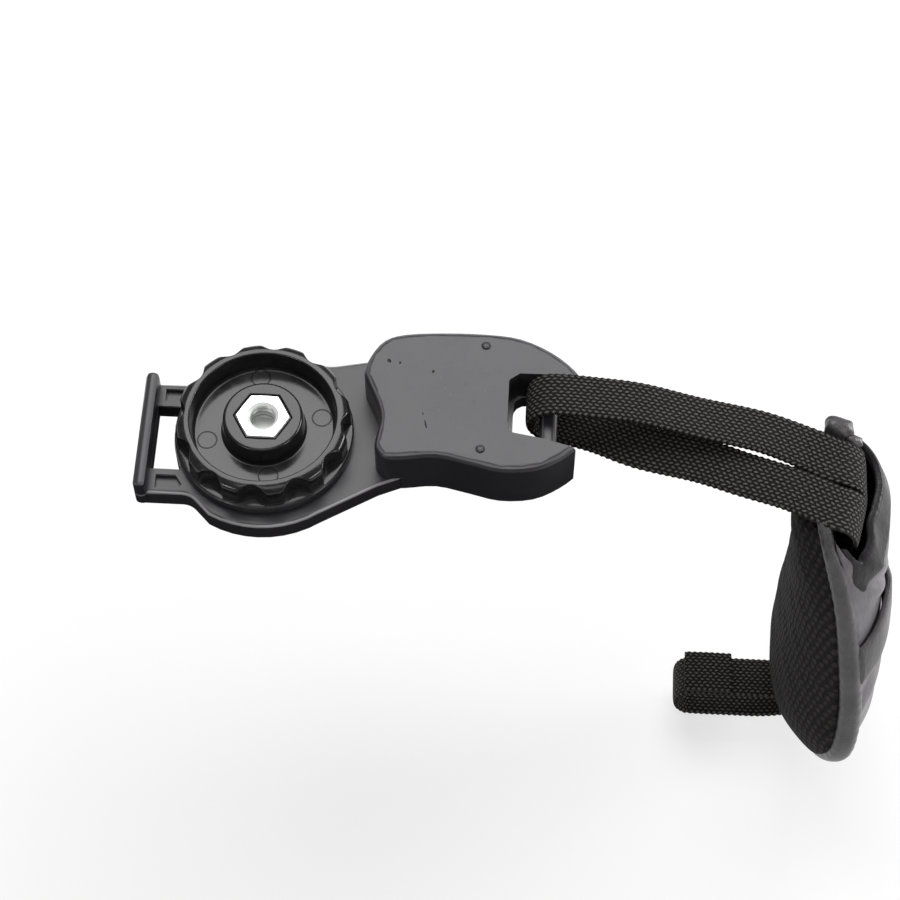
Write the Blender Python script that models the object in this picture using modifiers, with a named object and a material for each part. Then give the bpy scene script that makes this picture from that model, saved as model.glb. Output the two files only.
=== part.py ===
"""Camera hand grip strap: a clamped plate with a thumb knob, an anchor block, webbing and a hand pad.

The frame is the strap's own, in the pose in which it is worn. The origin is on the axis of the
camera screw, on the face that the camera rests on. +Z runs up through the knob, +X along the
plate to the block and the pad, and the pad hangs down beside the hand. Lengths are millimetres.
"""

import math

import bmesh
import bpy
import numpy as np
from mathutils import Matrix, Vector

MM = 0.001
GAP = 0.3  # clearance between pieces that touch
COLLECTION = "hand_grip_strap"

# Plate
PLATE_BOTTOM = 0.6
PLATE_TOP = 5.0
PLATE_DISC_R = 21.8
PLATE_FAR_R = 20.0
PLATE_EDGE_ROUND = 0.8
TONGUE_DROP = 0.4  # the tongue inside the block is thinner than the plate
TONGUE_RISE = 0.2
NECK_NEAR_Y = -9.0
NECK_FAR_Y = 20.2
NECK_REACH = 34.0
ARM_NEAR_Y = (-14.8, -8.9)
ARM_FAR_Y = (6.4, 12.0)
ARM_GROOVE_DEPTH = 1.2
ARM_GROOVE_WALL = 1.3
ARM_GROOVE_TIP = 2.7  # how far the groove runs inside the window's radius
CROSSBAR_X = (-26.15, -23.35)
CROSSBAR_TOP = 9.0
CROSSBAR_OVERHANG = 0.6
CROSSBAR_ROUND = 1.1
WINDOW_R = 19.1
SCREW_HOLE_R = 3.6
RUBBER_THICK = 1.2
RUBBER_RECESS = 0.9
RUBBER_RING_R = (8.5, 17.0)
RUBBER_FOOT_X = (27.0, 41.0)
RUBBER_FOOT_Y = (-3.0, 15.5)

# Camera screw with its tripod socket, about the Z axis
THREAD_D = 6.35
STUD_TIP = -5.0
HEX_FLATS = 10.0
HEX_BASE = 7.5
SOCKET_DEPTH = 4.9
STUD_CHAMFER = 0.8
CLIP_OUTER_R = 5.6
CLIP_THICK = 0.6

# Knob, about the Z axis
KNOB_FLANGE_R = 18.8
KNOB_FLANGE_THICK = 2.1
KNOB_GRIP_R = 18.3
KNOB_SHOULDER = 1.5  # the height over which a lobe's top slopes out and a scoop reaches its depth
KNOB_SCALLOP_DEPTH = 1.9
KNOB_LOBES = 12
KNOB_LOBE_PHASE = 22.7
KNOB_RIM_TOP = 13.5
KNOB_CUP_R = 15.15
KNOB_CUP_FLOOR = 8.0
KNOB_BOSS_R = 8.3
KNOB_BOSS_TOP = 13.4
WASHER_R = 8.2
WASHER_THICK = 0.6

# Anchor block, with its outline as seen from above
BLOCK_BOTTOM = 1.0
BLOCK_TOP = 14.0
BLOCK_EDGE_ROUND = 1.3
BLOCK_WALL = 1.8
BLOCK_OUTLINE = [
    (28.6, 21.8), (24.2, 20.0), (21.5, 16.1), (20.4, 12.0), (21.6, 8.6), (23.6, 4.2),
    (24.4, 0.6), (23.9, -3.2), (23.8, -6.4), (25.9, -8.7), (30.0, -8.7), (36.5, -7.9),
    (43.5, -9.3), (50.0, -10.7), (57.0, -10.0), (62.5, -7.0), (66.4, -3.0), (68.4, 3.0),
    (68.0, 9.0), (64.9, 14.4), (59.6, 18.9), (53.0, 21.9), (46.0, 22.7), (37.0, 22.6),
]  # fmt: skip
NOTCH_OUTLINE = [
    (80.0, 13.1, 0.0), (53.1, 12.9, 0.6), (50.9, 11.2, 0.8), (50.9, 1.0, 1.0),
    (51.3, -1.4, 1.6), (58.2, -2.6, 4.0), (80.0, -8.4, 0.0),
]  # fmt: skip
NOTCH_LEDGE = 1.1
NOTCH_SIDE_LEDGE = 0.3
STRAP_BAR_X = (57.6, 61.4)
STRAP_BAR_Z = (7.6, 11.6)
STRAP_BAR_ROUND = 1.5
BLOCK_SCREWS = [(45.6, 17.0), (45.6, -4.2)]
BLOCK_SCREW_R = 1.2
BLOCK_SCREW_HEAD_R = 2.3
BLOCK_SCREW_HEAD_THICK = 1.4
BLOCK_SCREW_TOP = 11.0

# Webbing
WEB_WIDTH = 10.0
WEB_THICK = 1.5
UPPER_LOOP_R = 5.2
MOUTH_STEP = 8.2  # from the pad's top edge to the webbing in the sleeve's mouth
INNER_LEG = [(110.5, -6.5), (101.0, -4.2), (91.7, -1.4), (79.6, 1.7), (70.0, 5.0)]  # x, y
OUTER_LEG = [(79.0, 7.0, 1.6), (91.0, 6.2, 4.2), (104.0, 4.9, 6.7), (113.5, 2.9, 8.6)]  # x, y, drop

# Pad: it hangs from its top edge, and v runs from 0 at the top to 1 at the bottom
PAD_TOP = 1.0
PAD_LENGTH = 86.0
PAD_MIDDLE_Y = (-2.6, -7.4)
PAD_HALF_WIDTHS = [(0.0, 12.6), (0.3, 20.8), (0.6, 29.0), (0.74, 30.5), (0.88, 24.0), (1.0, 12.2)]
PAD_EDGE_X = [(0.0, 116.5), (0.17, 120.5), (0.36, 123.5), (0.73, 125.5), (0.88, 123.2), (1.0, 120.5)]
PAD_BULGE = [(0.0, 5.0), (0.13, 7.6), (0.45, 10.5), (0.71, 11.5), (0.9, 8.0), (1.0, 3.5)]
COVER_RISE = [(0.0, 10.4), (0.22, 7.8), (0.5, 7.2), (0.75, 6.6), (1.0, 5.2)]
LINER_THICK = 0.8
FOAM_EDGE = 0.8
FOAM_FULLNESS = 0.55
PANEL_THICK = 0.8
COVER_THICK = 1.0
COVER_DROP = 6.0  # from the pad's top edge down to the sleeve's rim
COVER_END_RISE = 1.3  # from the pad's end up to the sleeve's end
COVER_SPAN = (COVER_DROP / PAD_LENGTH, 1 - COVER_END_RISE / PAD_LENGTH)
HEM_WIDTH = 4.0
HEM_THICK = 0.7
BINDING_LIP = 2.4
BINDING_THICK = 0.8
BAND_DROP = 26.7  # from the pad's top edge down to the cross band
BAND_WIDTH = 12.0
BAND_SPAN = (BAND_DROP / PAD_LENGTH, (BAND_DROP + BAND_WIDTH) / PAD_LENGTH)
BAND_THICK = 1.4
PAD_ROW_STEP = 0.07
PAD_COLUMNS = 8

# Sliders inside the pad's sleeve
SLIDER_WIDTH = 14.6
SLIDER_THICK = 2.2
SLIDER_BAR = 2.0
SLIDER_SLOT = 4.6
SLIDER_SIDE = 1.7
UPPER_SLIDER_DROP = 31.0  # from the pad's top edge down to the slider's top
LOWER_SLIDER_RISE = 25.0  # from the pad's end up to the slider's top
UPPER_SLIDER_TOP = PAD_TOP - UPPER_SLIDER_DROP
LOWER_SLIDER_TOP = PAD_TOP - PAD_LENGTH + LOWER_SLIDER_RISE

# Lower strap: its loop goes round the camera's lug
LUG_LOOP_LEFT = 94.2
LUG_LOOP_HEIGHT = 11.0
LOWER_DROP = 2.6  # from the pad's end down to the strap's upper run
LOWER_RUN_X = (107.0, 115.0)
END_FOLD_X = (95.5, 107.0)
END_FOLD_THICK = 2.0

ROUND_STEPS = 48
FLAT = 0.01  # radians between two faces that lie in one plane


def clear_scene():
    for item in list(bpy.data.objects):
        bpy.data.objects.remove(item, do_unlink=True)


def make_collection(name, hidden=False):
    collection = bpy.data.collections.new(name)
    collection.hide_render = hidden
    bpy.context.scene.collection.children.link(collection)
    return collection


def make_material(name, colour, roughness, metallic=0.0):
    material = bpy.data.materials.new(name)
    material.use_nodes = True
    shader = material.node_tree.nodes["Principled BSDF"]
    shader.inputs["Base Color"].default_value = (*colour, 1.0)
    shader.inputs["Roughness"].default_value = roughness
    shader.inputs["Metallic"].default_value = metallic
    return material


def add_object(name, mesh, material=None, cutter=False):
    """Links a mesh as a part, or as a hidden cutter."""
    item = bpy.data.objects.new(name, mesh)
    if cutter:
        item.hide_render = True
        item.display_type = "WIRE"
        CUTTERS.objects.link(item)
        return item
    mesh.materials.append(material)
    mesh.shade_smooth()
    mesh.set_sharp_from_angle(angle=math.radians(35))
    PARTS.objects.link(item)
    return item


def mesh_from(bm, name):
    """Turns a bmesh in millimetres into a mesh in metres with its faces pointing out."""
    bmesh.ops.recalc_face_normals(bm, faces=bm.faces)
    bmesh.ops.scale(bm, vec=(MM, MM, MM), verts=bm.verts)
    mesh = bpy.data.meshes.new(name)
    bm.to_mesh(mesh)
    bm.free()
    return mesh


def arc(radius, start, end, steps):
    """Points on a circle about the origin, from one angle in degrees to another."""
    angles = np.radians(np.linspace(start, end, steps))
    return [(radius * math.cos(a), radius * math.sin(a)) for a in angles]


def rounded(corners, steps=4):
    """The outline through (x, y, radius) corners, with an arc of that radius in each corner."""
    outline = []
    count = len(corners)
    for index, (x, y, radius) in enumerate(corners):
        here = Vector((x, y))
        if radius == 0.0:
            outline.append((x, y))
            continue
        back = (Vector(corners[index - 1][:2]) - here).normalized()
        ahead = (Vector(corners[(index + 1) % count][:2]) - here).normalized()
        half = back.angle(ahead) / 2
        reach = radius / math.tan(half)
        middle = here + (back + ahead).normalized() * (radius / math.sin(half))
        first = here + back * reach - middle
        last = here + ahead * reach - middle
        for step in range(steps + 1):
            turned = first.lerp(last, step / steps).normalized() * radius
            outline.append(tuple(middle + turned))
    return outline


def smooth_ring(points, steps):
    """A closed Catmull-Rom curve through the points."""
    ring = np.array(points, float)
    before, after, beyond = np.roll(ring, 1, 0), np.roll(ring, -1, 0), np.roll(ring, -2, 0)
    curve = []
    for step in range(steps):
        t = step / steps
        curve.append(
            0.5
            * (
                2 * ring
                + (after - before) * t
                + (2 * before - 5 * ring + 4 * after - beyond) * t**2
                + (3 * ring - before - 3 * after + beyond) * t**3
            )
        )
    return np.stack(curve, axis=1).reshape(-1, 2)


def inset(ring, distance):
    """The ring moved inwards by a distance, along the normals at its points."""
    ring = np.array(ring, float)
    along = np.roll(ring, -1, 0) - np.roll(ring, 1, 0)
    along /= np.linalg.norm(along, axis=1)[:, None]
    normal = np.column_stack([-along[:, 1], along[:, 0]])
    turns_left = np.sum(ring[:, 0] * np.roll(ring[:, 1], -1) - ring[:, 1] * np.roll(ring[:, 0], -1))
    return ring + normal * distance * math.copysign(1.0, turns_left)


def smooth_curve(points, steps):
    """An open Catmull-Rom curve through points in space."""
    points = np.array(points, float)
    padded = np.vstack([2 * points[0] - points[1], points, 2 * points[-1] - points[-2]])
    curve = []
    for a, b, c, d in zip(padded, padded[1:], padded[2:], padded[3:]):
        for step in range(steps):
            t = step / steps
            curve.append(
                0.5
                * (
                    2 * b
                    + (c - a) * t
                    + (2 * a - 5 * b + 4 * c - d) * t**2
                    + (3 * b - a - 3 * c + d) * t**3
                )
            )
    curve.append(points[-1])
    return np.array(curve)


def along_pad(table, v):
    """A smooth value between the stations of a (v, value) table."""
    stations = np.array(table, float)
    places, values = stations[:, 0], stations[:, 1]
    slopes = np.gradient(values, places)
    index = int(np.clip(np.searchsorted(places, v) - 1, 0, len(places) - 2))
    width = places[index + 1] - places[index]
    t = (v - places[index]) / width
    return (
        values[index] * (1 + 2 * t) * (1 - t) ** 2
        + values[index + 1] * t**2 * (3 - 2 * t)
        + slopes[index] * width * t * (1 - t) ** 2
        + slopes[index + 1] * width * t**2 * (t - 1)
    )


def prism(name, rings, bottom, top, material=None, cutter=False):
    """A flat outline, with any holes in it, between two heights."""
    curve = bpy.data.curves.new(name, "CURVE")
    curve.dimensions = "2D"
    curve.fill_mode = "BOTH"
    curve.extrude = (top - bottom) / 2 * MM
    for ring in rings:
        spline = curve.splines.new("POLY")
        spline.points.add(len(ring) - 1)
        spline.use_cyclic_u = True
        for point, (x, y) in zip(spline.points, ring):
            point.co = (x * MM, y * MM, 0.0, 1.0)
    guide = bpy.data.objects.new(name + "_guide", curve)
    bpy.context.scene.collection.objects.link(guide)
    graph = bpy.context.evaluated_depsgraph_get()
    mesh = bpy.data.meshes.new_from_object(guide.evaluated_get(graph))
    bpy.data.objects.remove(guide, do_unlink=True)
    bm = bmesh.new()
    bm.from_mesh(mesh)
    bmesh.ops.remove_doubles(bm, verts=bm.verts, dist=0.001 * MM)
    bmesh.ops.translate(bm, vec=(0, 0, (top + bottom) / 2 * MM), verts=bm.verts)
    if len(rings) == 1:
        # Each cap becomes one face, so that a Bevel of its rim finds no thin triangles.
        inner = [edge for edge in bm.edges if len(edge.link_faces) == 2 and edge.calc_face_angle() < FLAT]
        inner = [edge for edge in inner if abs(edge.verts[0].co.z - edge.verts[1].co.z) < 0.001 * MM]
        bmesh.ops.dissolve_edges(bm, edges=inner, use_verts=False)
    bmesh.ops.recalc_face_normals(bm, faces=bm.faces)
    bm.to_mesh(mesh)
    bm.free()
    mesh.name = name
    return add_object(name, mesh, material, cutter)


def box(name, low, high, cutter=True, material=None):
    """A box between two corners."""
    bm = bmesh.new()
    bmesh.ops.create_cube(bm, size=1.0)
    low, high = Vector(low), Vector(high)
    bmesh.ops.scale(bm, vec=high - low, verts=bm.verts)
    bmesh.ops.translate(bm, vec=(high + low) / 2, verts=bm.verts)
    return add_object(name, mesh_from(bm, name), material, cutter)


def cylinder(name, radius, bottom, top, centre=(0.0, 0.0), sides=ROUND_STEPS, cutter=True, material=None):
    """An upright cylinder; a hexagon has 6 sides and a corner towards +X."""
    bm = bmesh.new()
    bmesh.ops.create_cone(
        bm, cap_ends=True, segments=sides, radius1=radius, radius2=radius, depth=top - bottom
    )
    bmesh.ops.rotate(bm, matrix=Matrix.Rotation(math.pi / 2, 3, "Z"), verts=bm.verts)
    bmesh.ops.translate(bm, vec=(*centre, (top + bottom) / 2), verts=bm.verts)
    return add_object(name, mesh_from(bm, name), material, cutter)


def turned(name, profile, material, steps=ROUND_STEPS):
    """A solid turned about Z from a (radius, height) profile that runs down its outer side. It
    starts and ends on the axis or, for a ring, is closed."""
    bm = bmesh.new()
    points = [bm.verts.new((radius * MM, 0.0, height * MM)) for radius, height in profile]
    for pair in zip(points, points[1:]):
        bm.edges.new(pair)
    if profile[0][0] > 0.0:
        bm.edges.new((points[-1], points[0]))
    mesh = bpy.data.meshes.new(name)
    bm.to_mesh(mesh)
    bm.free()
    item = add_object(name, mesh, material)
    screw = item.modifiers.new("turned", "SCREW")
    screw.steps = screw.render_steps = steps
    screw.use_merge_vertices = True
    screw.merge_threshold = 0.001 * MM
    return item


def cut(item, cutter, operation="DIFFERENCE"):
    modifier = item.modifiers.new(cutter.name, "BOOLEAN")
    modifier.operation = operation
    modifier.object = cutter
    modifier.solver = "EXACT"


def apply_modifiers(item):
    """Replaces the object's mesh by the evaluated one, so that its edges can be picked."""
    graph = bpy.context.evaluated_depsgraph_get()
    mesh = bpy.data.meshes.new_from_object(item.evaluated_get(graph))
    item.modifiers.clear()
    item.data = mesh


def round_edges(item, width, segments, picks):
    """Bevels the edges that a test of their two ends picks."""
    bm = bmesh.new()
    bm.from_mesh(item.data)
    weights = bm.edges.layers.float.new("bevel_weight_edge")
    for edge in bm.edges:
        ends = [vert.co / MM for vert in edge.verts]
        sharp = len(edge.link_faces) == 2 and edge.calc_face_angle() > math.radians(40)
        edge[weights] = 1.0 if sharp and picks(*ends) else 0.0
    bm.to_mesh(item.data)
    bm.free()
    modifier = item.modifiers.new("rounded_edges", "BEVEL")
    modifier.limit_method = "WEIGHT"
    modifier.width = width * MM
    modifier.segments = segments


def at_height(height):
    """Picks the edges that lie at one height."""
    return lambda a, b: abs(a.z - height) < 0.01 and abs(b.z - height) < 0.01


def ribbon(name, path, material, width=WEB_WIDTH, thick=WEB_THICK):
    """A flat strap along a path, as wide as it can be in the Y direction."""
    path = np.array(path, float)
    ahead = np.gradient(path, axis=0)
    ahead /= np.linalg.norm(ahead, axis=1)[:, None]
    across = np.array([0.0, 1.0, 0.0]) - ahead * ahead[:, 1:2]
    across /= np.linalg.norm(across, axis=1)[:, None]
    bm = bmesh.new()
    left = [bm.verts.new(point) for point in path - across * width / 2]
    right = [bm.verts.new(point) for point in path + across * width / 2]
    for a, b, c, d in zip(left, left[1:], right[1:], right):
        bm.faces.new((a, b, c, d))
    item = add_object(name, mesh_from(bm, name), material)
    solidify = item.modifiers.new("webbing_thickness", "SOLIDIFY")
    solidify.thickness = thick * MM
    solidify.offset = 0.0
    solidify.use_even_offset = True
    return item


def pad_half_width(v):
    return along_pad(PAD_HALF_WIDTHS, v)


def pad_z(v):
    return PAD_TOP - v * PAD_LENGTH


def pad_v(z):
    return (PAD_TOP - z) / PAD_LENGTH


def pad_middle_y(v):
    return PAD_MIDDLE_Y[0] + (PAD_MIDDLE_Y[1] - PAD_MIDDLE_Y[0]) * v


def fullness(u):
    """How full the cushion is across the pad: 1 in the middle and 0 at the edges."""
    return 1 - min(abs(u), 1.0) ** 2.6


def liner_face(u, v):
    """The X of the face that the hand's back touches."""
    return along_pad(PAD_EDGE_X, v) - along_pad(PAD_BULGE, v) * fullness(u)


def foam_face(u, v):
    return liner_face(u, v) + LINER_THICK + GAP


def foam_thick(u, v):
    return FOAM_EDGE + FOAM_FULLNESS * along_pad(PAD_BULGE, v) * fullness(u)


def panel_face(u, v):
    return foam_face(u, v) + foam_thick(u, v) + GAP


def panel_back(u, v):
    return panel_face(u, v) + PANEL_THICK


def cover_face(u, v):
    """The X of the outer leather's inner face, which arches away from the panel."""
    seam = along_pad(PAD_EDGE_X, v) + LINER_THICK + FOAM_EDGE + PANEL_THICK + 3 * GAP
    half = pad_half_width(v)
    across = abs(u) * half / (half - BINDING_LIP - GAP)
    return seam + along_pad(COVER_RISE, v) * (1 - min(across, 1.0) ** 5)


def cover_outside(u, v):
    return cover_face(u, v) + COVER_THICK


def pad_rows(v_span=(0.0, 1.0)):
    """The rows that all the pad's layers share, so that stacked faces stay the same way apart."""
    hem = HEM_WIDTH / PAD_LENGTH
    hem_edges = {COVER_SPAN[0] + hem, COVER_SPAN[1] - hem}
    marks = sorted({0.0, 1.0, *COVER_SPAN, *BAND_SPAN, *hem_edges})
    rows = [1.0]
    for low, high in zip(marks, marks[1:]):
        steps = math.ceil((high - low) / PAD_ROW_STEP)
        rows += list(np.linspace(low, high, steps + 1)[:-1])
    return sorted(v for v in rows if v_span[0] - 1e-6 < v < v_span[1] + 1e-6)


def lip_reach(v):
    """Where the bindings' lips begin, as a share of the pad's half width."""
    return 1 - (BINDING_LIP + GAP) / pad_half_width(v)


def pad_columns(v, to_lip):
    inner = list(np.linspace(-lip_reach(v), lip_reach(v), PAD_COLUMNS + 1))
    return inner if to_lip else [-1.0] + inner + [1.0]


def pad_layer(name, near_face, far_face, material, v_span=(0.0, 1.0), to_lip=False):
    """A closed layer of the pad between two faces, out to its edges or only to the bindings' lips."""
    bm = bmesh.new()
    grid, places = [], {}
    for v in pad_rows(v_span):
        row = []
        for u in pad_columns(v, to_lip):
            vert = bm.verts.new((near_face(u, v), pad_middle_y(v) + u * pad_half_width(v), pad_z(v)))
            places[vert] = (u, v)
            row.append(vert)
        grid.append(row)
    near = []
    for upper, lower in zip(grid, grid[1:]):
        for a, b, c, d in zip(upper, upper[1:], lower[1:], lower):
            near.append(bm.faces.new((a, b, c, d)))
    # The far face starts as a copy of the near one, so each copied point knows its place.
    order = [places[vert] for row in grid for vert in row]
    raised = bmesh.ops.extrude_face_region(bm, geom=near, use_keep_orig=True)
    bm.verts.ensure_lookup_table()
    copies = [item for item in raised["geom"] if isinstance(item, bmesh.types.BMVert)]
    for vert in copies:
        v = pad_v(vert.co.z)
        u = (vert.co.y - pad_middle_y(v)) / pad_half_width(v)
        place = min(order, key=lambda p: (p[0] - u) ** 2 + (p[1] - v) ** 2)
        vert.co.x = far_face(*place)
    return add_object(name, mesh_from(bm, name), material)


def plate_outline():
    """The disc under the knob, the neck to the block and the two arms, as seen from above."""
    near_arm, far_arm = ARM_NEAR_Y[0], ARM_FAR_Y[1]
    bar_left = CROSSBAR_X[0]
    near_join = -math.sqrt(PLATE_DISC_R**2 - near_arm**2)
    far_join = -math.sqrt(PLATE_FAR_R**2 - far_arm**2)
    near_side = [(x, y, 0.0) for x, y in arc(PLATE_DISC_R, -118, -54, 10)]
    far_side = [(x, y, 0.0) for x, y in arc(PLATE_FAR_R, 68, 138, 10)]
    return rounded(
        [(bar_left + 1.0, near_arm, 0.0), (near_join + 1.5, near_arm, 4.0)]
        + near_side
        + [(24.5, NECK_NEAR_Y - 1.6, 6.0), (NECK_REACH, NECK_NEAR_Y + 2.6, 0.0)]
        + [(NECK_REACH, NECK_FAR_Y - 1.0, 0.0), (22.0, NECK_FAR_Y, 6.0), (13.0, NECK_FAR_Y - 1.85, 8.0)]
        + far_side
        + [(far_join - 0.6, far_arm, 2.0), (bar_left + 1.0, far_arm, 0.0)]
    )


def make_plate(plastic):
    """The plate with its window, its tongue inside the block and the neck-strap bar."""
    near_arm, far_arm = ARM_NEAR_Y[0], ARM_FAR_Y[1]
    bar_left, bar_right = CROSSBAR_X
    outline = plate_outline()
    low = math.degrees(math.asin(ARM_NEAR_Y[1] / WINDOW_R))
    high = math.degrees(math.asin(ARM_FAR_Y[0] / WINDOW_R))
    window = [(bar_right, ARM_NEAR_Y[1]), (bar_right, ARM_FAR_Y[0])]
    window += arc(WINDOW_R, 180 - high, 180 - low, 10)
    plate = prism("base_plate", [outline], PLATE_BOTTOM, PLATE_TOP, plastic)
    round_edges(plate, PLATE_EDGE_ROUND, 2, at_height(PLATE_TOP))
    cut(plate, prism("window", [window], PLATE_BOTTOM - 1, PLATE_TOP + 1, cutter=True))
    tongue = inset(smooth_ring(BLOCK_OUTLINE, 2), BLOCK_WALL + GAP)
    tongue_z = (PLATE_BOTTOM + TONGUE_RISE, PLATE_TOP - TONGUE_DROP)
    cut(plate, prism("tongue", [tongue], *tongue_z, cutter=True), "UNION")

    bar = box(
        "crossbar",
        (bar_left, near_arm - CROSSBAR_OVERHANG, PLATE_BOTTOM),
        (bar_right, far_arm + CROSSBAR_OVERHANG, CROSSBAR_TOP),
    )
    bevel = bar.modifiers.new("rounded_bar", "BEVEL")
    bevel.width = CROSSBAR_ROUND * MM
    bevel.segments = 2
    cut(plate, bar, "UNION")

    for side, (y_low, y_high) in (("near", ARM_NEAR_Y), ("far", ARM_FAR_Y)):
        groove = groove_outline(bar_right + ARM_GROOVE_WALL, y_low + ARM_GROOVE_WALL, y_high - ARM_GROOVE_WALL)
        groove_bottom = PLATE_TOP - ARM_GROOVE_DEPTH
        cut(plate, prism(side + "_arm_groove", [groove], groove_bottom, PLATE_TOP + 1, cutter=True))
    below = PLATE_BOTTOM - 1.0
    recess_top = PLATE_BOTTOM + RUBBER_RECESS
    cut(plate, cylinder("screw_hole", SCREW_HOLE_R, below, PLATE_TOP + 1))
    cut(plate, cylinder("clip_recess", CLIP_OUTER_R + 0.6, below, recess_top))
    ring = [arc(RUBBER_RING_R[1] + GAP, 0, 352.5, ROUND_STEPS), arc(RUBBER_RING_R[0] - GAP, 0, 352.5, ROUND_STEPS)]
    cut(plate, prism("ring_recess", ring, below, recess_top, cutter=True))
    foot = foot_outline(GAP)
    cut(plate, prism("foot_recess", [foot], below, recess_top, cutter=True))
    cut(plate, prism("tongue_notch", [notch_ring(NOTCH_LEDGE)], below, PLATE_TOP + 1, cutter=True))
    for index, centre in enumerate(BLOCK_SCREWS, 1):
        cut(plate, cylinder(f"plate_hole_{index}", BLOCK_SCREW_R + GAP, below, PLATE_TOP + 1, centre, 16))
        head_top = PLATE_BOTTOM + GAP + BLOCK_SCREW_HEAD_THICK + GAP
        cut(plate, cylinder(f"counterbore_{index}", BLOCK_SCREW_HEAD_R + GAP, below, head_top, centre, 24))
    return plate


def groove_outline(left, low, high):
    """A groove along an arm, with a pointed end beside the knob."""
    tip = ARM_GROOVE_TIP - WINDOW_R
    return [(left, low), (tip - 0.8, low), (tip, low + 1.1), (tip - 1.5, high), (left, high)]


def notch_ring(ledge):
    """The notch's outline, narrowed by a ledge where the plate shows inside the block."""
    x_left = NOTCH_OUTLINE[2][0] + ledge
    y_far = NOTCH_OUTLINE[0][1] - NOTCH_SIDE_LEDGE
    right = NOTCH_OUTLINE[0][0]
    near_left = NOTCH_OUTLINE[4][1] + NOTCH_SIDE_LEDGE
    near_right = NOTCH_OUTLINE[-1][1] + NOTCH_SIDE_LEDGE
    return rounded([(right, y_far, 0.0), (x_left, y_far, 2.6), (x_left, near_left, 2.0), (right, near_right, 0.0)])


def foot_outline(grow):
    (x_low, x_high), (y_low, y_high) = RUBBER_FOOT_X, RUBBER_FOOT_Y
    corners = [
        (x_low - grow, y_low - grow, 2.0 + grow),
        (x_high + grow, y_low - grow, 2.0 + grow),
        (x_high + grow, y_high + grow, 2.0 + grow),
        (x_low - grow, y_high + grow, 2.0 + grow),
    ]
    return rounded(corners, 3)


def make_rubber(rubber):
    """The ring and the foot of rubber that keep the plate off the camera."""
    outer = arc(RUBBER_RING_R[1], 0, 352.5, ROUND_STEPS)
    inner = arc(RUBBER_RING_R[0], 0, 352.5, ROUND_STEPS)
    prism("rubber_ring", [outer, inner], 0.0, RUBBER_THICK, rubber)
    prism("rubber_foot", [foot_outline(0.0)], 0.0, RUBBER_THICK, rubber)


def make_knob(plastic):
    """A turned cup with a boss; its grip is then waved into lobes above a round flange."""
    bottom = PLATE_TOP + GAP
    flange_top = bottom + KNOB_FLANGE_THICK
    recess = bottom + WASHER_THICK + GAP
    hole = THREAD_D / 2 + GAP
    profile = [
        (hole, KNOB_BOSS_TOP),
        (KNOB_BOSS_R - 1.0, KNOB_BOSS_TOP),
        (KNOB_BOSS_R - 0.3, KNOB_BOSS_TOP - 0.4),
        (KNOB_BOSS_R + 0.2, KNOB_BOSS_TOP - 1.6),
        (KNOB_BOSS_R + 0.4, KNOB_CUP_FLOOR),
        (KNOB_CUP_R - 0.5, KNOB_CUP_FLOOR),
        (KNOB_CUP_R, KNOB_RIM_TOP - 0.3),
        (KNOB_CUP_R + 0.3, KNOB_RIM_TOP),
        (KNOB_GRIP_R - 2.0, KNOB_RIM_TOP),
        (KNOB_GRIP_R - 1.1, KNOB_RIM_TOP - 0.4),
        (KNOB_GRIP_R - 0.4, KNOB_RIM_TOP - KNOB_SHOULDER),
        (KNOB_GRIP_R, KNOB_RIM_TOP - 2 * KNOB_SHOULDER),
        (KNOB_GRIP_R, flange_top + 0.2),
        (KNOB_FLANGE_R - 0.4, flange_top),
        (KNOB_FLANGE_R, flange_top - 0.5),
        (KNOB_FLANGE_R, bottom + 0.5),
        (KNOB_FLANGE_R - 0.4, bottom),
        (WASHER_R + GAP, bottom),
        (WASHER_R + GAP, recess),
        (hole, recess),
    ]
    knob = turned("knob", profile, plastic, steps=KNOB_LOBES * 6)
    apply_modifiers(knob)
    for vert in knob.data.vertices:
        x, y, z = vert.co / MM
        radius = math.hypot(x, y)
        if radius < KNOB_CUP_R + 0.5 or z < flange_top + 0.1:
            continue
        wave = 0.5 + 0.5 * math.cos(KNOB_LOBES * (math.atan2(y, x) - math.radians(KNOB_LOBE_PHASE)))
        share = min((KNOB_RIM_TOP - z) / KNOB_SHOULDER, 1.0)
        depth = KNOB_SCALLOP_DEPTH * share * wave**1.5
        vert.co.x *= (radius - depth) / radius
        vert.co.y *= (radius - depth) / radius
    pocket_r = (HEX_FLATS / 2 + GAP) / math.cos(math.pi / 6)
    cut(knob, cylinder("hex_pocket", pocket_r, HEX_BASE - GAP, KNOB_BOSS_TOP + 1, sides=6))
    return knob


def make_screw(steel):
    """The camera screw, whose hexagonal head holds the socket for the next screw."""
    shank_r = THREAD_D / 2
    shank_top = HEX_BASE + STUD_CHAMFER
    profile = [
        (0.0, shank_top),
        (shank_r, shank_top),
        (shank_r, STUD_TIP + STUD_CHAMFER),
        (shank_r - STUD_CHAMFER, STUD_TIP),
        (0.0, STUD_TIP),
    ]
    screw = turned("tripod_screw", profile, steel, steps=32)
    head_r = HEX_FLATS / 2 / math.cos(math.pi / 6)
    head = cylinder("hex_head", head_r, HEX_BASE, KNOB_BOSS_TOP, sides=6)
    cut(screw, head, "UNION")
    socket_bottom = KNOB_BOSS_TOP - SOCKET_DEPTH
    cut(screw, cylinder("socket", THREAD_D / 2, socket_bottom, KNOB_BOSS_TOP + 1, sides=32))
    return screw


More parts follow.
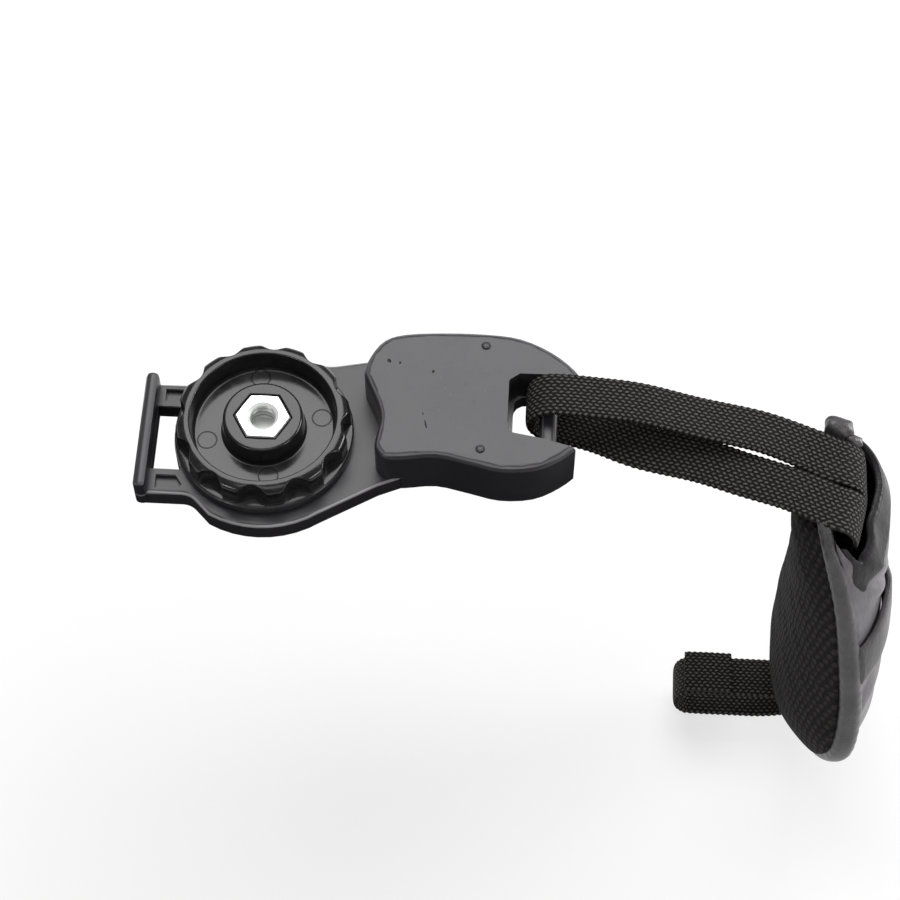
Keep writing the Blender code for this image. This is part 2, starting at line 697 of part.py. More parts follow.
def make_washer_and_clip(nylon, steel):
    """The knob turns on the washer, and the clip under the plate keeps it from coming off."""
    hole = THREAD_D / 2 + GAP
    low = PLATE_TOP + GAP
    prism(
        "knob_washer",
        [arc(WASHER_R, 0, 350, 36), arc(hole, 0, 350, 36)],
        low,
        low + WASHER_THICK,
        nylon,
    )
    top = PLATE_BOTTOM + RUBBER_RECESS - GAP
    gap_half = 28.0
    clip = arc(CLIP_OUTER_R, gap_half, 360 - gap_half, 30) + arc(hole, 360 - gap_half, gap_half, 24)
    prism("retaining_clip", [clip], top - CLIP_THICK, top, steel)


def make_block(plastic):
    """The moulded anchor block: a smooth kidney with a notch, and the strap bar across it."""
    ring = smooth_ring(BLOCK_OUTLINE, 3)
    block = prism("anchor_block", [ring], BLOCK_BOTTOM, BLOCK_TOP, plastic)
    round_edges(block, BLOCK_EDGE_ROUND, 3, at_height(BLOCK_TOP))
    cut(block, prism("strap_notch", [rounded(NOTCH_OUTLINE)], BLOCK_BOTTOM - 1, BLOCK_TOP + 1, cutter=True))
    pocket_top = PLATE_TOP - TONGUE_DROP + GAP
    pocket = inset(smooth_ring(BLOCK_OUTLINE, 2), BLOCK_WALL)
    cut(block, prism("tongue_pocket", [pocket], BLOCK_BOTTOM - 1, pocket_top, cutter=True))
    neck = inset(plate_outline(), -GAP)
    cut(block, prism("neck_slot", [neck], BLOCK_BOTTOM - 1, PLATE_TOP + GAP, cutter=True))
    bar = box(
        "strap_bar",
        (STRAP_BAR_X[0], NOTCH_OUTLINE[5][1] - 2.5, STRAP_BAR_Z[0]),
        (STRAP_BAR_X[1], NOTCH_OUTLINE[0][1] + 1.5, STRAP_BAR_Z[1]),
    )
    round_edges(bar, STRAP_BAR_ROUND, 3, lambda a, b: abs(a.y - b.y) > 1)
    cut(block, bar, "UNION")
    for index, centre in enumerate(BLOCK_SCREWS, 1):
        top = BLOCK_SCREW_TOP + GAP
        cut(block, cylinder(f"block_hole_{index}", BLOCK_SCREW_R + GAP, 0, top, centre, 16))
    return block


def make_block_screws(steel):
    """The two screws that hold the block down from under the plate."""
    low = PLATE_BOTTOM + GAP
    head_top = low + BLOCK_SCREW_HEAD_THICK
    profile = [
        (0.0, BLOCK_SCREW_TOP),
        (BLOCK_SCREW_R, BLOCK_SCREW_TOP - 0.8),
        (BLOCK_SCREW_R, head_top),
        (BLOCK_SCREW_HEAD_R - 0.3, head_top),
        (BLOCK_SCREW_HEAD_R, head_top - 0.3),
        (BLOCK_SCREW_HEAD_R, low),
        (0.0, low),
    ]
    for index, (x, y) in enumerate(BLOCK_SCREWS, 1):
        screw = turned(f"block_screw_{index}", profile, steel, steps=16)
        screw.location = (x * MM, y * MM, 0.0)


def turn_radius():
    """How far the webbing's middle stays from the middle of a slider's bar."""
    return math.hypot(SLIDER_THICK, SLIDER_BAR) / 2 + GAP + WEB_THICK / 2


def slider_middle(top):
    return top - SLIDER_BAR - SLIDER_SLOT - SLIDER_BAR / 2


def slider_x(top):
    """The X of a slider's middle: the webbing behind its bar just clears the panel."""
    reach = turn_radius() + WEB_THICK / 2 + GAP
    backs = [panel_back(u, pad_v(top - drop)) for u in (0.0, 0.4) for drop in (0.0, 8.0, 16.0)]
    return max(backs) + reach


def round_the_bar(top, web_y, upwards):
    """The webbing's way round a slider's middle bar, from its outer side to its inner side."""
    radius = turn_radius()
    away = 1.0 if upwards else -1.0
    sides = [(radius, radius + 3.0), (radius, 1.2)]
    turn = [(radius * math.cos(a), -radius * math.sin(a)) for a in np.linspace(0.3, math.pi - 0.3, 6)]
    steps = sides + turn + [(-x, z) for x, z in reversed(sides)]
    return [(slider_x(top) + x, web_y, slider_middle(top) + away * z) for x, z in steps]


def make_upper_webbing(webbing):
    """From the panel up out of the sleeve, round the strap bar and back to the slider."""
    web_y = pad_middle_y(0.4)
    bar_x = STRAP_BAR_X[0] - GAP - WEB_THICK / 2 + UPPER_LOOP_R
    bar_z = sum(STRAP_BAR_Z) / 2
    bar_y = NOTCH_OUTLINE[0][1] - NOTCH_SIDE_LEDGE - GAP - WEB_WIDTH / 2
    low, high = bar_z - UPPER_LOOP_R, bar_z + UPPER_LOOP_R
    inner_x = panel_back(0.3, pad_v(UPPER_SLIDER_TOP)) + GAP + WEB_THICK / 2
    mouth_x = along_pad(PAD_EDGE_X, 0.0) + MOUTH_STEP
    nested = WEB_THICK + 2 * GAP
    path = [
        (inner_x, web_y, UPPER_SLIDER_TOP + 4.0),
        (inner_x + 0.6, web_y - 0.3, PAD_TOP - 18.0),
        (mouth_x - 0.4, web_y - 1.7, PAD_TOP - COVER_DROP),
        (mouth_x - 1.6, web_y - 2.3, PAD_TOP - 0.6),
        (mouth_x - 4.2, web_y - 2.6, 2.7),
        (mouth_x - 8.0, web_y - 2.6, 3.4),
    ]
    path += [(x, y, low) for x, y in INNER_LEG]
    path.append((bar_x, bar_y, low))
    for degrees in (225, 180, 135, 90):
        turn = math.radians(degrees)
        path.append((bar_x + UPPER_LOOP_R * math.cos(turn), bar_y, bar_z + UPPER_LOOP_R * math.sin(turn)))
    path.append((INNER_LEG[-1][0], bar_y, high - 0.5))
    path += [(x, y, high - drop) for x, y, drop in OUTER_LEG]
    path += [
        (mouth_x - 4.0, 1.9, 2.7 + nested),
        (mouth_x - 0.4, 1.6, 1.2 + nested),
        (mouth_x - 0.4 + nested, 1.2, PAD_TOP - COVER_DROP),
    ]
    tail = round_the_bar(UPPER_SLIDER_TOP, web_y, upwards=True)
    ribbon("upper_webbing", smooth_curve(path + tail, 3), webbing)


def make_lower_webbing(webbing):
    """From the panel down out of the sleeve, round the camera's lug and back to the slider."""
    web_y = pad_middle_y(0.95)
    inner_x = max(panel_back(0.4, v) for v in (0.85, 0.9, 1.0)) + GAP + WEB_THICK / 2
    pad_end = pad_z(1.0)
    top = pad_end - LOWER_DROP
    bottom = top - LUG_LOOP_HEIGHT
    loop_z = (top + bottom) / 2
    loop_r = LUG_LOOP_HEIGHT / 2
    loop_depth = loop_r * 0.7
    loop_x = LUG_LOOP_LEFT + loop_depth
    path = [
        (inner_x, web_y, pad_end + 8.0),
        (inner_x, web_y, pad_end + 1.5),
        (inner_x - 0.9, web_y, top + 1.4),
        (inner_x - 3.6, web_y, top + 0.2),
        (LOWER_RUN_X[1], web_y, top),
        (LOWER_RUN_X[0], web_y, top),
    ]
    for degrees in range(90, 271, 30):
        turn = math.radians(degrees)
        path.append((loop_x + loop_depth * math.cos(turn), web_y, loop_z + loop_r * math.sin(turn)))
    path += [
        (LOWER_RUN_X[0], web_y, bottom),
        (LOWER_RUN_X[1], web_y, bottom + 0.2),
        (inner_x - 3.9, web_y, bottom + 2.2),
        (inner_x + 1.4, web_y, bottom + 7.4),
        (inner_x + 3.2, web_y, bottom + 14.0),
        (inner_x + 4.4, web_y, pad_end + 6.5),
    ]
    tail = round_the_bar(LOWER_SLIDER_TOP, web_y, upwards=False)
    ribbon("lower_webbing", smooth_curve(path + tail, 3), webbing)
    low, high = END_FOLD_X
    fold_bottom = top + WEB_THICK / 2 + GAP
    half = WEB_WIDTH / 2
    corners = [(low, web_y - half, 0.6), (high, web_y - half, 0.6), (high, web_y + half, 0.6), (low, web_y + half, 0.6)]
    prism("webbing_end_fold", [rounded(corners, 2)], fold_bottom, fold_bottom + END_FOLD_THICK, webbing)


def make_slider(name, top, web_y, plastic):
    """A flat frame with a middle bar and two slots for the webbing."""
    height = 3 * SLIDER_BAR + 2 * SLIDER_SLOT
    half = SLIDER_WIDTH / 2
    corners = [(-half, 0, 1.6), (half, 0, 1.6), (half, height, 1.6), (-half, height, 1.6)]
    rings = [rounded(corners, 3)]
    for index in range(2):
        low = SLIDER_BAR + index * (SLIDER_BAR + SLIDER_SLOT)
        side = half - SLIDER_SIDE
        slot = [(-side, low, 0.5), (side, low, 0.5), (side, low + SLIDER_SLOT, 0.5), (-side, low + SLIDER_SLOT, 0.5)]
        rings.append(rounded(slot, 2))
    slider = prism(name, rings, -SLIDER_THICK / 2, SLIDER_THICK / 2, plastic)
    slider.rotation_euler = (math.pi / 2, 0.0, math.pi / 2)
    slider.location = (slider_x(top) * MM, web_y * MM, (top - height) * MM)


def make_pad(mesh_cloth, foam, leather):
    """The cushion's layers, from the hand outwards, and the leather sleeve over the webbing."""
    pad_layer("pad_liner", liner_face, lambda u, v: liner_face(u, v) + LINER_THICK, mesh_cloth)
    pad_layer("pad_foam", foam_face, lambda u, v: foam_face(u, v) + foam_thick(u, v), foam)
    pad_layer("back_panel", panel_face, panel_back, leather)
    pad_layer("sleeve_cover", cover_face, cover_outside, leather, COVER_SPAN)

    def over_cover(extra):
        return lambda u, v: cover_outside(u, v) + GAP + extra

    hem = HEM_WIDTH / PAD_LENGTH
    for name, start in (("upper_hem", COVER_SPAN[0]), ("lower_hem", COVER_SPAN[1] - hem)):
        span = (start, start + hem)
        pad_layer(name, over_cover(0.0), over_cover(HEM_THICK), leather, span, to_lip=True)
    pad_layer("cross_band", over_cover(0.0), over_cover(BAND_THICK), leather, BAND_SPAN, to_lip=True)


def loft(name, sections, material):
    """A closed solid through a row of like closed sections."""
    bm = bmesh.new()
    rings = [[bm.verts.new(point) for point in section] for section in sections]
    for upper, lower in zip(rings, rings[1:]):
        for index in range(len(upper)):
            after = (index + 1) % len(upper)
            bm.faces.new((upper[index], upper[after], lower[after], lower[index]))
    bm.faces.new(rings[0])
    bm.faces.new(rings[-1])
    return add_object(name, mesh_from(bm, name), material)


def make_binding(name, side, leather):
    """A leather binding folded round one edge of the pad, from its top to its bottom."""
    sections = []
    for v in pad_rows():
        half = pad_half_width(v)
        lip, edge = half - BINDING_LIP, half - 0.6
        back = along_pad(PAD_EDGE_X, v) - GAP
        front = cover_outside(1.0, v) + GAP
        inside = [(lip, liner_face(lip / half, v) - GAP), (edge, liner_face(edge / half, v) - GAP)]
        inside += [(half + GAP, back), (half + GAP, front)]
        inside += [(edge, cover_outside(edge / half, v) + GAP), (lip, cover_outside(lip / half, v) + GAP)]
        outside = [(lip, inside[0][1] - BINDING_THICK), (edge, inside[1][1] - BINDING_THICK)]
        outside += [(half + GAP + BINDING_THICK, back), (half + GAP + BINDING_THICK, front)]
        outside += [(edge, inside[4][1] + BINDING_THICK), (lip, inside[5][1] + BINDING_THICK)]
        section = inside + outside[::-1]
        sections.append([(x, pad_middle_y(v) + side * across, pad_z(v)) for across, x in section])
    return loft(name, sections, leather)


def make_corner_fold(leather):
    """The folded leather end at the pad's far top corner, a soft lump."""
    half = pad_half_width(0.0)
    bm = bmesh.new()
    bmesh.ops.create_cube(bm, size=1.0)
    low = Vector((along_pad(PAD_EDGE_X, 0.0) + 0.8, pad_middle_y(0.0) + half - 2.4, PAD_TOP + GAP))
    high = low + Vector((5.6, 5.0, 5.0))
    bmesh.ops.scale(bm, vec=high - low, verts=bm.verts)
    bmesh.ops.translate(bm, vec=(high + low) / 2, verts=bm.verts)
    item = add_object("corner_fold", mesh_from(bm, "corner_fold"), leather)
    bevel = item.modifiers.new("soft_edges", "BEVEL")
    bevel.width = 1.6 * MM
    bevel.segments = 3
    return item


clear_scene()
PARTS = make_collection(COLLECTION)
CUTTERS = make_collection("cutters", hidden=True)

gloss_black = make_material("gloss_black_plastic", (0.025, 0.024, 0.026), 0.25)
satin_black = make_material("satin_black_plastic", (0.035, 0.033, 0.037), 0.38)
zinc = make_material("zinc_plated_steel", (0.78, 0.78, 0.76), 0.22, 1.0)
dark_steel = make_material("dark_steel", (0.20, 0.20, 0.21), 0.35, 1.0)
black_rubber = make_material("black_rubber", (0.02, 0.02, 0.02), 0.85)
white_nylon = make_material("natural_nylon", (0.70, 0.69, 0.64), 0.45)
black_webbing = make_material("black_webbing", (0.018, 0.017, 0.017), 0.8)
rib_mesh = make_material("ribbed_mesh_cloth", (0.032, 0.027, 0.026), 0.9)
black_leather = make_material("black_leather", (0.035, 0.034, 0.037), 0.5)
grey_foam = make_material("grey_foam", (0.10, 0.10, 0.10), 0.95)

make_plate(satin_black)
make_rubber(black_rubber)
make_knob(gloss_black)
make_screw(zinc)
make_washer_and_clip(white_nylon, dark_steel)
make_block(satin_black)
make_block_screws(dark_steel)
make_upper_webbing(black_webbing)
make_lower_webbing(black_webbing)
make_slider("upper_slider", UPPER_SLIDER_TOP, pad_middle_y(0.4), satin_black)
make_slider("lower_slider", LOWER_SLIDER_TOP, pad_middle_y(0.95), satin_black)
make_pad(rib_mesh, grey_foam, black_leather)
make_binding("near_binding", -1, black_leather)
make_binding("far_binding", 1, black_leather)
make_corner_fold(black_leather)
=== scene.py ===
# %% [markdown]
# # A camera hand grip strap
#
# This lesson dresses a hand grip strap: a moulded plate and block in satin black plastic, a glossy
# thumb knob with a bright threaded screw, two straps of black webbing and a soft pad in ribbed mesh
# and leather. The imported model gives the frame, and everything here is laid on it.
#
# The rigid mouldings keep their own solids and get materials. The knob, the screw, the webbing and
# the pad are surfaces worked out with numpy, because their look lives in shapes that are finer than
# the solids: lobes, threads, woven edges, folds and seams.

import math

import bpy
import numpy as np
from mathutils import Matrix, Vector


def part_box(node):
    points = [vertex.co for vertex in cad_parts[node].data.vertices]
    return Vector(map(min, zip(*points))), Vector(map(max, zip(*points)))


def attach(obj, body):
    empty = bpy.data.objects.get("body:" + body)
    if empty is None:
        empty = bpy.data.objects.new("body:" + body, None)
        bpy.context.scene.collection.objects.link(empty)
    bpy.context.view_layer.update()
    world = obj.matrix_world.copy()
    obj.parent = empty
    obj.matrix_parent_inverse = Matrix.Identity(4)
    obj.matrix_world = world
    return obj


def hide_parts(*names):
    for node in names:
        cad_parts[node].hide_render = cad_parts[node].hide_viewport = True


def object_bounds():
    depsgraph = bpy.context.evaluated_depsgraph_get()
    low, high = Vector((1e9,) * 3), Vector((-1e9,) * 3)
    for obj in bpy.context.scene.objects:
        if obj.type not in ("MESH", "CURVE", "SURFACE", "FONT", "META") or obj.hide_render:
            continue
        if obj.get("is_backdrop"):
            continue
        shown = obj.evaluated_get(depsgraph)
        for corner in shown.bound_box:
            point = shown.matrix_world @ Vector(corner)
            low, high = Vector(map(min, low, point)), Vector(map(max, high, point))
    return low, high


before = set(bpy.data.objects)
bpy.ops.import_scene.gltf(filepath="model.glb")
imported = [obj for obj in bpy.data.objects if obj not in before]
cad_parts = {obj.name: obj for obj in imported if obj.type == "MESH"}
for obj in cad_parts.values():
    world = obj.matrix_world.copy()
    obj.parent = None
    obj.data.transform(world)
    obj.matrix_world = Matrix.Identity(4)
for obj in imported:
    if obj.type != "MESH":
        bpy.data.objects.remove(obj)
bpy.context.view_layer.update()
MM = 0.001

# %% [markdown]
# ## The camera and the floor
#
# The strap is seen from above its near side, 60 degrees over the horizon, with a long lens from
# about half a metre. The floor is a wide white sheet. It is seen as white by the camera and by
# glossy surfaces, and keeps a part of its own shading, so that a soft shadow stays on it.

# %% The camera
VIEW_AZIMUTH, VIEW_ELEVATION = math.radians(3), math.radians(60)
VIEW_DISTANCE = 0.540
VIEW_TARGET = Vector((0.03897, 0.00164, 0.0))
LENS_MM, SENSOR_MM = 101.6, 36.0

towards_camera = Vector(
    (
        math.sin(VIEW_AZIMUTH) * math.cos(VIEW_ELEVATION),
        -math.cos(VIEW_AZIMUTH) * math.cos(VIEW_ELEVATION),
        math.sin(VIEW_ELEVATION),
    )
)
camera_data = bpy.data.cameras.new("camera")
camera_data.lens, camera_data.sensor_width = LENS_MM, SENSOR_MM
camera_data.clip_start, camera_data.clip_end = 0.01, 10.0
camera = bpy.data.objects.new("camera", camera_data)
camera.location = VIEW_TARGET + towards_camera * VIEW_DISTANCE
camera.rotation_euler = (-towards_camera).to_track_quat("-Z", "Y").to_euler()
bpy.context.scene.collection.objects.link(camera)
bpy.context.scene.camera = camera
bpy.context.scene.view_settings.view_transform = "Standard"
print("camera at", [round(x, 3) for x in camera.location])


# %% [markdown]
# ## Writing shaders as sums
#
# A material is a tree of nodes, and most of its nodes are arithmetic. Instead of wiring each one by
# hand, a socket is wrapped in a small class whose operators add the Math nodes, so a pattern reads
# like its formula.

# %% A socket that can be added and multiplied
class Value:
    """A number that varies over a surface: the output of a shader node."""

    def __init__(self, finish, socket):
        self.finish, self.socket = finish, socket

    def maths(self, operation, *others):
        return self.finish.node("ShaderNodeMath", {"operation": operation}, [self, *others])

    def __add__(self, other):
        return self.maths("ADD", other)

    def __sub__(self, other):
        return self.maths("SUBTRACT", other)

    def __mul__(self, other):
        return self.maths("MULTIPLY", other)

    def __truediv__(self, other):
        return self.maths("DIVIDE", other)

    def __pow__(self, other):
        return self.maths("POWER", other)

    def __rsub__(self, other):
        return self.finish.node("ShaderNodeMath", {"operation": "SUBTRACT"}, [other, self])

    __radd__, __rmul__ = __add__, __mul__

    def fract(self):
        return self.maths("FRACT")

    def floor(self):
        return self.maths("FLOOR")

    def size(self):
        return self.maths("ABSOLUTE")

    def at_least(self, other):
        return self.maths("MAXIMUM", other)

    def rise(self, low, high):
        """0 below low, 1 above high and a smooth step between."""
        inputs = {"Value": self, "From Min": low, "From Max": high}
        return self.finish.node("ShaderNodeMapRange", {"interpolation_type": "SMOOTHSTEP"}, inputs)


class Finish:
    """A material with one Principled shader, and the nodes that feed it."""

    def __init__(self, name):
        self.material = bpy.data.materials.new(name)
        self.material.use_nodes = True
        self.tree = self.material.node_tree
        self.shader = self.tree.nodes["Principled BSDF"]

    def node(self, kind, settings=None, inputs=(), output=0):
        """Adds a node: its settings first, then the values or links of its sockets."""
        made = self.tree.nodes.new(kind)
        for name, setting in (settings or {}).items():
            setattr(made, name, setting)
        pairs = inputs.items() if isinstance(inputs, dict) else enumerate(inputs)
        for key, item in pairs:
            if isinstance(item, Value):
                self.tree.links.new(item.socket, made.inputs[key])
            else:
                made.inputs[key].default_value = item
        return Value(self, made.outputs[output])

    def place(self):
        """The place on the object in millimetres, as three values and as a vector."""
        point = self.node("ShaderNodeTexCoord", output="Object")
        scaled = self.node("ShaderNodeVectorMath", {"operation": "SCALE"}, {"Vector": point, "Scale": 1 / MM})
        parts = [self.node("ShaderNodeSeparateXYZ", None, [scaled], output=axis) for axis in range(3)]
        return parts, scaled

    def cloth_place(self):
        """The place on the piece's own cloth in millimetres: along it and across it."""
        point = self.node("ShaderNodeUVMap", {"uv_map": "cloth"})
        return [self.node("ShaderNodeSeparateXYZ", None, [point], output=axis) for axis in range(2)]

    def noise(self, vector, scale, detail=2.0, roughness=0.5):
        inputs = {"Vector": vector, "Scale": scale, "Detail": detail, "Roughness": roughness}
        return self.node("ShaderNodeTexNoise", None, inputs)

    def blend(self, share, low, high):
        """A colour between two colours."""
        low, high = (item if isinstance(item, Value) else (*item, 1.0) for item in (low, high))
        return self.node("ShaderNodeMix", {"data_type": "RGBA"}, {0: share, 6: low, 7: high}, output=2)

    def set(self, **inputs):
        for name, item in inputs.items():
            socket = self.shader.inputs[name.replace("_", " ")]
            if isinstance(item, Value):
                self.tree.links.new(item.socket, socket)
            else:
                socket.default_value = (*item, 1.0) if isinstance(item, tuple) else item

    def relief(self, height, depth_mm, strength=1.0):
        """Turns a height between 0 and 1 into bumps that are so many millimetres deep."""
        inputs = {"Height": height, "Distance": depth_mm * MM, "Strength": strength}
        self.set(Normal=self.node("ShaderNodeBump", None, inputs))


print("shader helpers are ready")

# %% [markdown]
# ## Plastics
#
# The plate and the block are moulded in black plastic with a satin skin. Under a wide soft light it
# looks a warm, slightly violet grey. Its roughness wanders a little, and a painted highlight makes
# its rounded edges paler.
# The block's top carries two small pips and the marks of use: short dark scratches, small dents and
# pale rubbed streaks, each at its own place. The dents, and a ring round each pip, are painted dark
# as painted shade.

# %% Satin plastic with marks of use
SATIN_COLOUR = (0.030, 0.028, 0.032)
# Used for the real rubbed streaks and patches, and for a painted highlight on the rounded edges.
RUBBED_AND_HIGHLIGHT_COLOUR = (0.13, 0.125, 0.135)
# The plate's rim colour is a painted highlight line.
PLATE_RIM_HIGHLIGHT_COLOUR = (0.34, 0.33, 0.335)
# Each mark is x, y, half length, half width and the direction in degrees.
PLATE_TOP, BLOCK_TOP = 5.0, 14.0
PIPS = [(45.7, 19.3), (45.6, -5.9)]
PIP_R, PIP_HEIGHT = 0.72, 0.35
SCRATCHES = [(34.0, -0.5, 1.1, 0.17, 105), (33.3, 2.0, 0.4, 0.12, 110)]
DENTS = [(25.5, 14.6, 0.55, 0.4, 120), (27.8, 14.2, 0.35, 0.25, 90), (34.9, 12.4, 0.4, 0.3, 80)]
# Each pip gets a ring of dent round it; the dents and these rings are painted near black as painted shade.
DENTS += [(x, y, 1.1, 1.1, 0) for x, y in PIPS]
STREAKS = [
    (42.7, 13.9, 1.0, 0.14, 115), (45.8, 13.6, 0.8, 0.14, 80), (36.6, 11.3, 1.1, 0.2, 100),
    (37.6, 8.6, 1.0, 0.2, 125), (38.9, 6.9, 0.9, 0.2, 130), (40.3, 5.2, 1.0, 0.2, 105),
    (36.8, 3.2, 0.9, 0.2, 50), (33.8, 4.9, 0.7, 0.16, 30), (46.0, 8.2, 0.8, 0.14, 80),
    (39.5, 0.8, 1.2, 0.2, 75), (42.0, -0.6, 1.3, 0.2, 60),
]  # fmt: skip


def mark_mask(finish, x, y, marks):
    """How much a place lies in any mark: 1 within an ellipse about each one, fading at its rim."""
    total = None
    for mark_x, mark_y, half_long, half_wide, degrees in marks:
        turn = math.radians(degrees)
        dx, dy = x - mark_x, y - mark_y
        along = (dx * math.cos(turn) + dy * math.sin(turn)) / half_long
        across = (dy * math.cos(turn) - dx * math.sin(turn)) / half_wide
        inside = 1 - (along * along + across * across).rise(0.25, 1.0)
        total = inside if total is None else total.at_least(inside)
    return total


def satin_plastic(name, marked):
    """Slow clouds of tone, a fine grain and a painted highlight on the rounded edges. The marked one is
    the block's, and the other has a painted highlight line at the plate's upper rim."""
    finish = Finish(name)
    (x, y, z), point = finish.place()
    cloud = finish.noise(point, 0.09, 3.0)
    grain = finish.noise(point, 2.4, 2.0)
    speck = finish.noise(point, 9.0, 1.0)
    shade = cloud.rise(0.3, 0.7)
    colour = finish.blend(shade * 0.5, SATIN_COLOUR, tuple(c * 1.16 for c in SATIN_COLOUR))
    height = grain * 0.25 + speck * 0.35
    rough = 0.27 + grain * 0.08 + shade * 0.04
    # A pale band where the top face turns into a rounded edge is a painted highlight.
    normal = finish.node("ShaderNodeTexCoord", output="Normal")
    facing_up = finish.node("ShaderNodeSeparateXYZ", None, [normal], output=2)
    edge = facing_up.rise(0.76, 0.82) * (1 - facing_up.rise(0.90, 0.95)) * (0.5 + cloud * 0.8)
    colour = finish.blend(edge, colour, RUBBED_AND_HIGHLIGHT_COLOUR)
    if not marked:
        # A pale band just under the plate's top face, all round, is a painted highlight along its rim.
        rim = z.rise(PLATE_TOP - 0.60, PLATE_TOP - 0.45) * (1 - z.rise(PLATE_TOP - 0.14, PLATE_TOP - 0.06))
        colour = finish.blend(rim * (0.6 + cloud * 0.6), colour, PLATE_RIM_HIGHLIGHT_COLOUR)
    if marked:
        on_top = z.rise(BLOCK_TOP - 0.5, BLOCK_TOP - 0.1)
        streaks = mark_mask(finish, x, y, STREAKS) * speck.rise(0.42, 0.6) * on_top
        below_pips = 1 - z.rise(BLOCK_TOP + 0.06, BLOCK_TOP + 0.14)
        dark = mark_mask(finish, x, y, SCRATCHES + DENTS) * on_top * below_pips
        rubbed = finish.noise(point, 0.35, 4.0, 0.6).rise(0.52, 0.72) * grain.rise(0.5, 0.64) * on_top
        colour = finish.blend(streaks * 0.7 + rubbed * 0.16, colour, RUBBED_AND_HIGHLIGHT_COLOUR)
        # Near black on the scratches is their mark; in the dents and round the pips it is painted shade.
        colour = finish.blend(dark * 0.9, colour, (0.004, 0.004, 0.004))
        height = height - dark * 6.0 + streaks * 0.4
        rough = rough + rubbed * 0.12 + dark * 0.4
    finish.set(Base_Color=colour, Roughness=rough, Specular_IOR_Level=0.5)
    finish.relief(height, 0.02)
    return finish.material


plate_plastic = satin_plastic("satin_black_plate", marked=False)
block_plastic = satin_plastic("satin_black_block", marked=True)
print("satin plastics:", plate_plastic.name, block_plastic.name)

# %% Glossy knob plastic with moulding marks
EJECTOR_MARKS = [(-11.7, -3.2), (11.9, 3.4), (-1.8, 12.6), (1.8, -11.2)]
EJECTOR_R = 2.0


def knob_plastic():
    """Black, glossy plastic: faint scuffs, and a shallow groove round each ejector mark, which is
    painted darker as painted shade. Below 9 mm, on the cup floor and the flange, the colour is painted
    paler as painted light.
    """
    finish = Finish("gloss_black_knob")
    (x, y, z), point = finish.place()
    scuff = finish.noise(point, 0.55, 5.0, 0.65)
    fine = finish.noise(point, 5.0, 2.0)
    groove = None
    for mark_x, mark_y in EJECTOR_MARKS:
        dx, dy = x - mark_x, y - mark_y
        reach = (dx * dx + dy * dy).maths("SQRT")
        ring = 1 - (reach - EJECTOR_R).size().rise(0.03, 0.16)
        groove = ring if groove is None else groove.at_least(ring)
    on_floor = 1 - z.rise(8.6, 9.0)
    groove = groove * on_floor
    worn = scuff.rise(0.45, 0.7)
    # Painted light: below 9 mm, on the cup floor and the flange, the colour is painted paler.
    colour = finish.blend(worn * 0.3 + on_floor * 0.5, (0.012, 0.0115, 0.0125), (0.04, 0.038, 0.041))
    # The groove round each ejector mark is painted darker: painted shade.
    colour = finish.blend(groove * 0.7, colour, (0.008, 0.008, 0.008))
    finish.set(Base_Color=colour, Roughness=0.16 + worn * 0.08 - on_floor * 0.02)
    finish.relief(fine * 0.05 + scuff * 0.15 - groove * 4.0, 0.03)
    return finish.material


gloss_plastic = knob_plastic()
print("knob plastic:", gloss_plastic.name)

# %% Bright plated steel, dark steel, rubber and nylon
def plated_steel(name, colour, roughness):
    """Steel with a plated skin: its roughness wanders in soft clouds. Inside the socket it is
    duller, and a painted shade darkens the thread's valleys."""
    finish = Finish(name)
    (x, y, z), point = finish.place()
    cloud = finish.noise(point, 0.5, 3.0)
    reach = (x * x + y * y).maths("SQRT")
    inside = (1 - reach.rise(3.3, 3.4)) * z.rise(8.0, 8.4)
    # Painted shade: the colour is darker in the thread's valleys inside the socket.
    valley_shade = inside * reach.rise(2.85, 3.1) * (1 - z.rise(12.9, 13.1))
    tone = finish.blend(cloud, colour, tuple(c * 0.86 for c in colour))
    finish.set(
        Base_Color=finish.blend(valley_shade * 0.7, tone, tuple(c * 0.3 for c in colour)),
        Roughness=roughness + cloud * 0.08 + inside * 0.22,
        Metallic=1.0 - inside * 0.8,
    )
    finish.relief(finish.noise(point, 1.5, 2.0), 0.003)
    return finish.material


def dull_skin(name, colour, roughness):
    """Rubber or nylon: a fine grain and a slightly uneven colour."""
    finish = Finish(name)
    _, point = finish.place()
    grain = finish.noise(point, 3.0, 3.0)
    finish.set(
        Base_Color=finish.blend(grain, colour, tuple(c * 1.3 for c in colour)),
        Roughness=roughness + grain * 0.08,
    )
    finish.relief(grain, 0.03)
    return finish.material


zinc = plated_steel("zinc_plated_steel", (0.86, 0.87, 0.85), 0.12)
dark_steel = plated_steel("dark_steel", (0.20, 0.20, 0.21), 0.3)
rubber = dull_skin("black_rubber", (0.02, 0.02, 0.021), 0.75)
nylon = dull_skin("natural_nylon", (0.55, 0.54, 0.50), 0.42)
print("steel, rubber and nylon are ready")

# %% [markdown]
# ## Cloths and leather
#
# The webbing is a plain weave of thick yarns: short raised dashes in rows, each row half a step
# behind its neighbour. The pad's lining is a mesh with fine ribs that run down the pad. The leather
# is thin and soft, smooth on its folds, with a fine grain and creases; the sleeve's copy is painted
# paler as painted light, and the fold round the mouth is painted darker as painted shade. All are
# dark, so their look comes from relief and from a painted highlight on the tips of the threads, with
# painted shade between them.

# %% Webbing
YARN_STEP = 1.36
YARN_WIDTH = 0.8


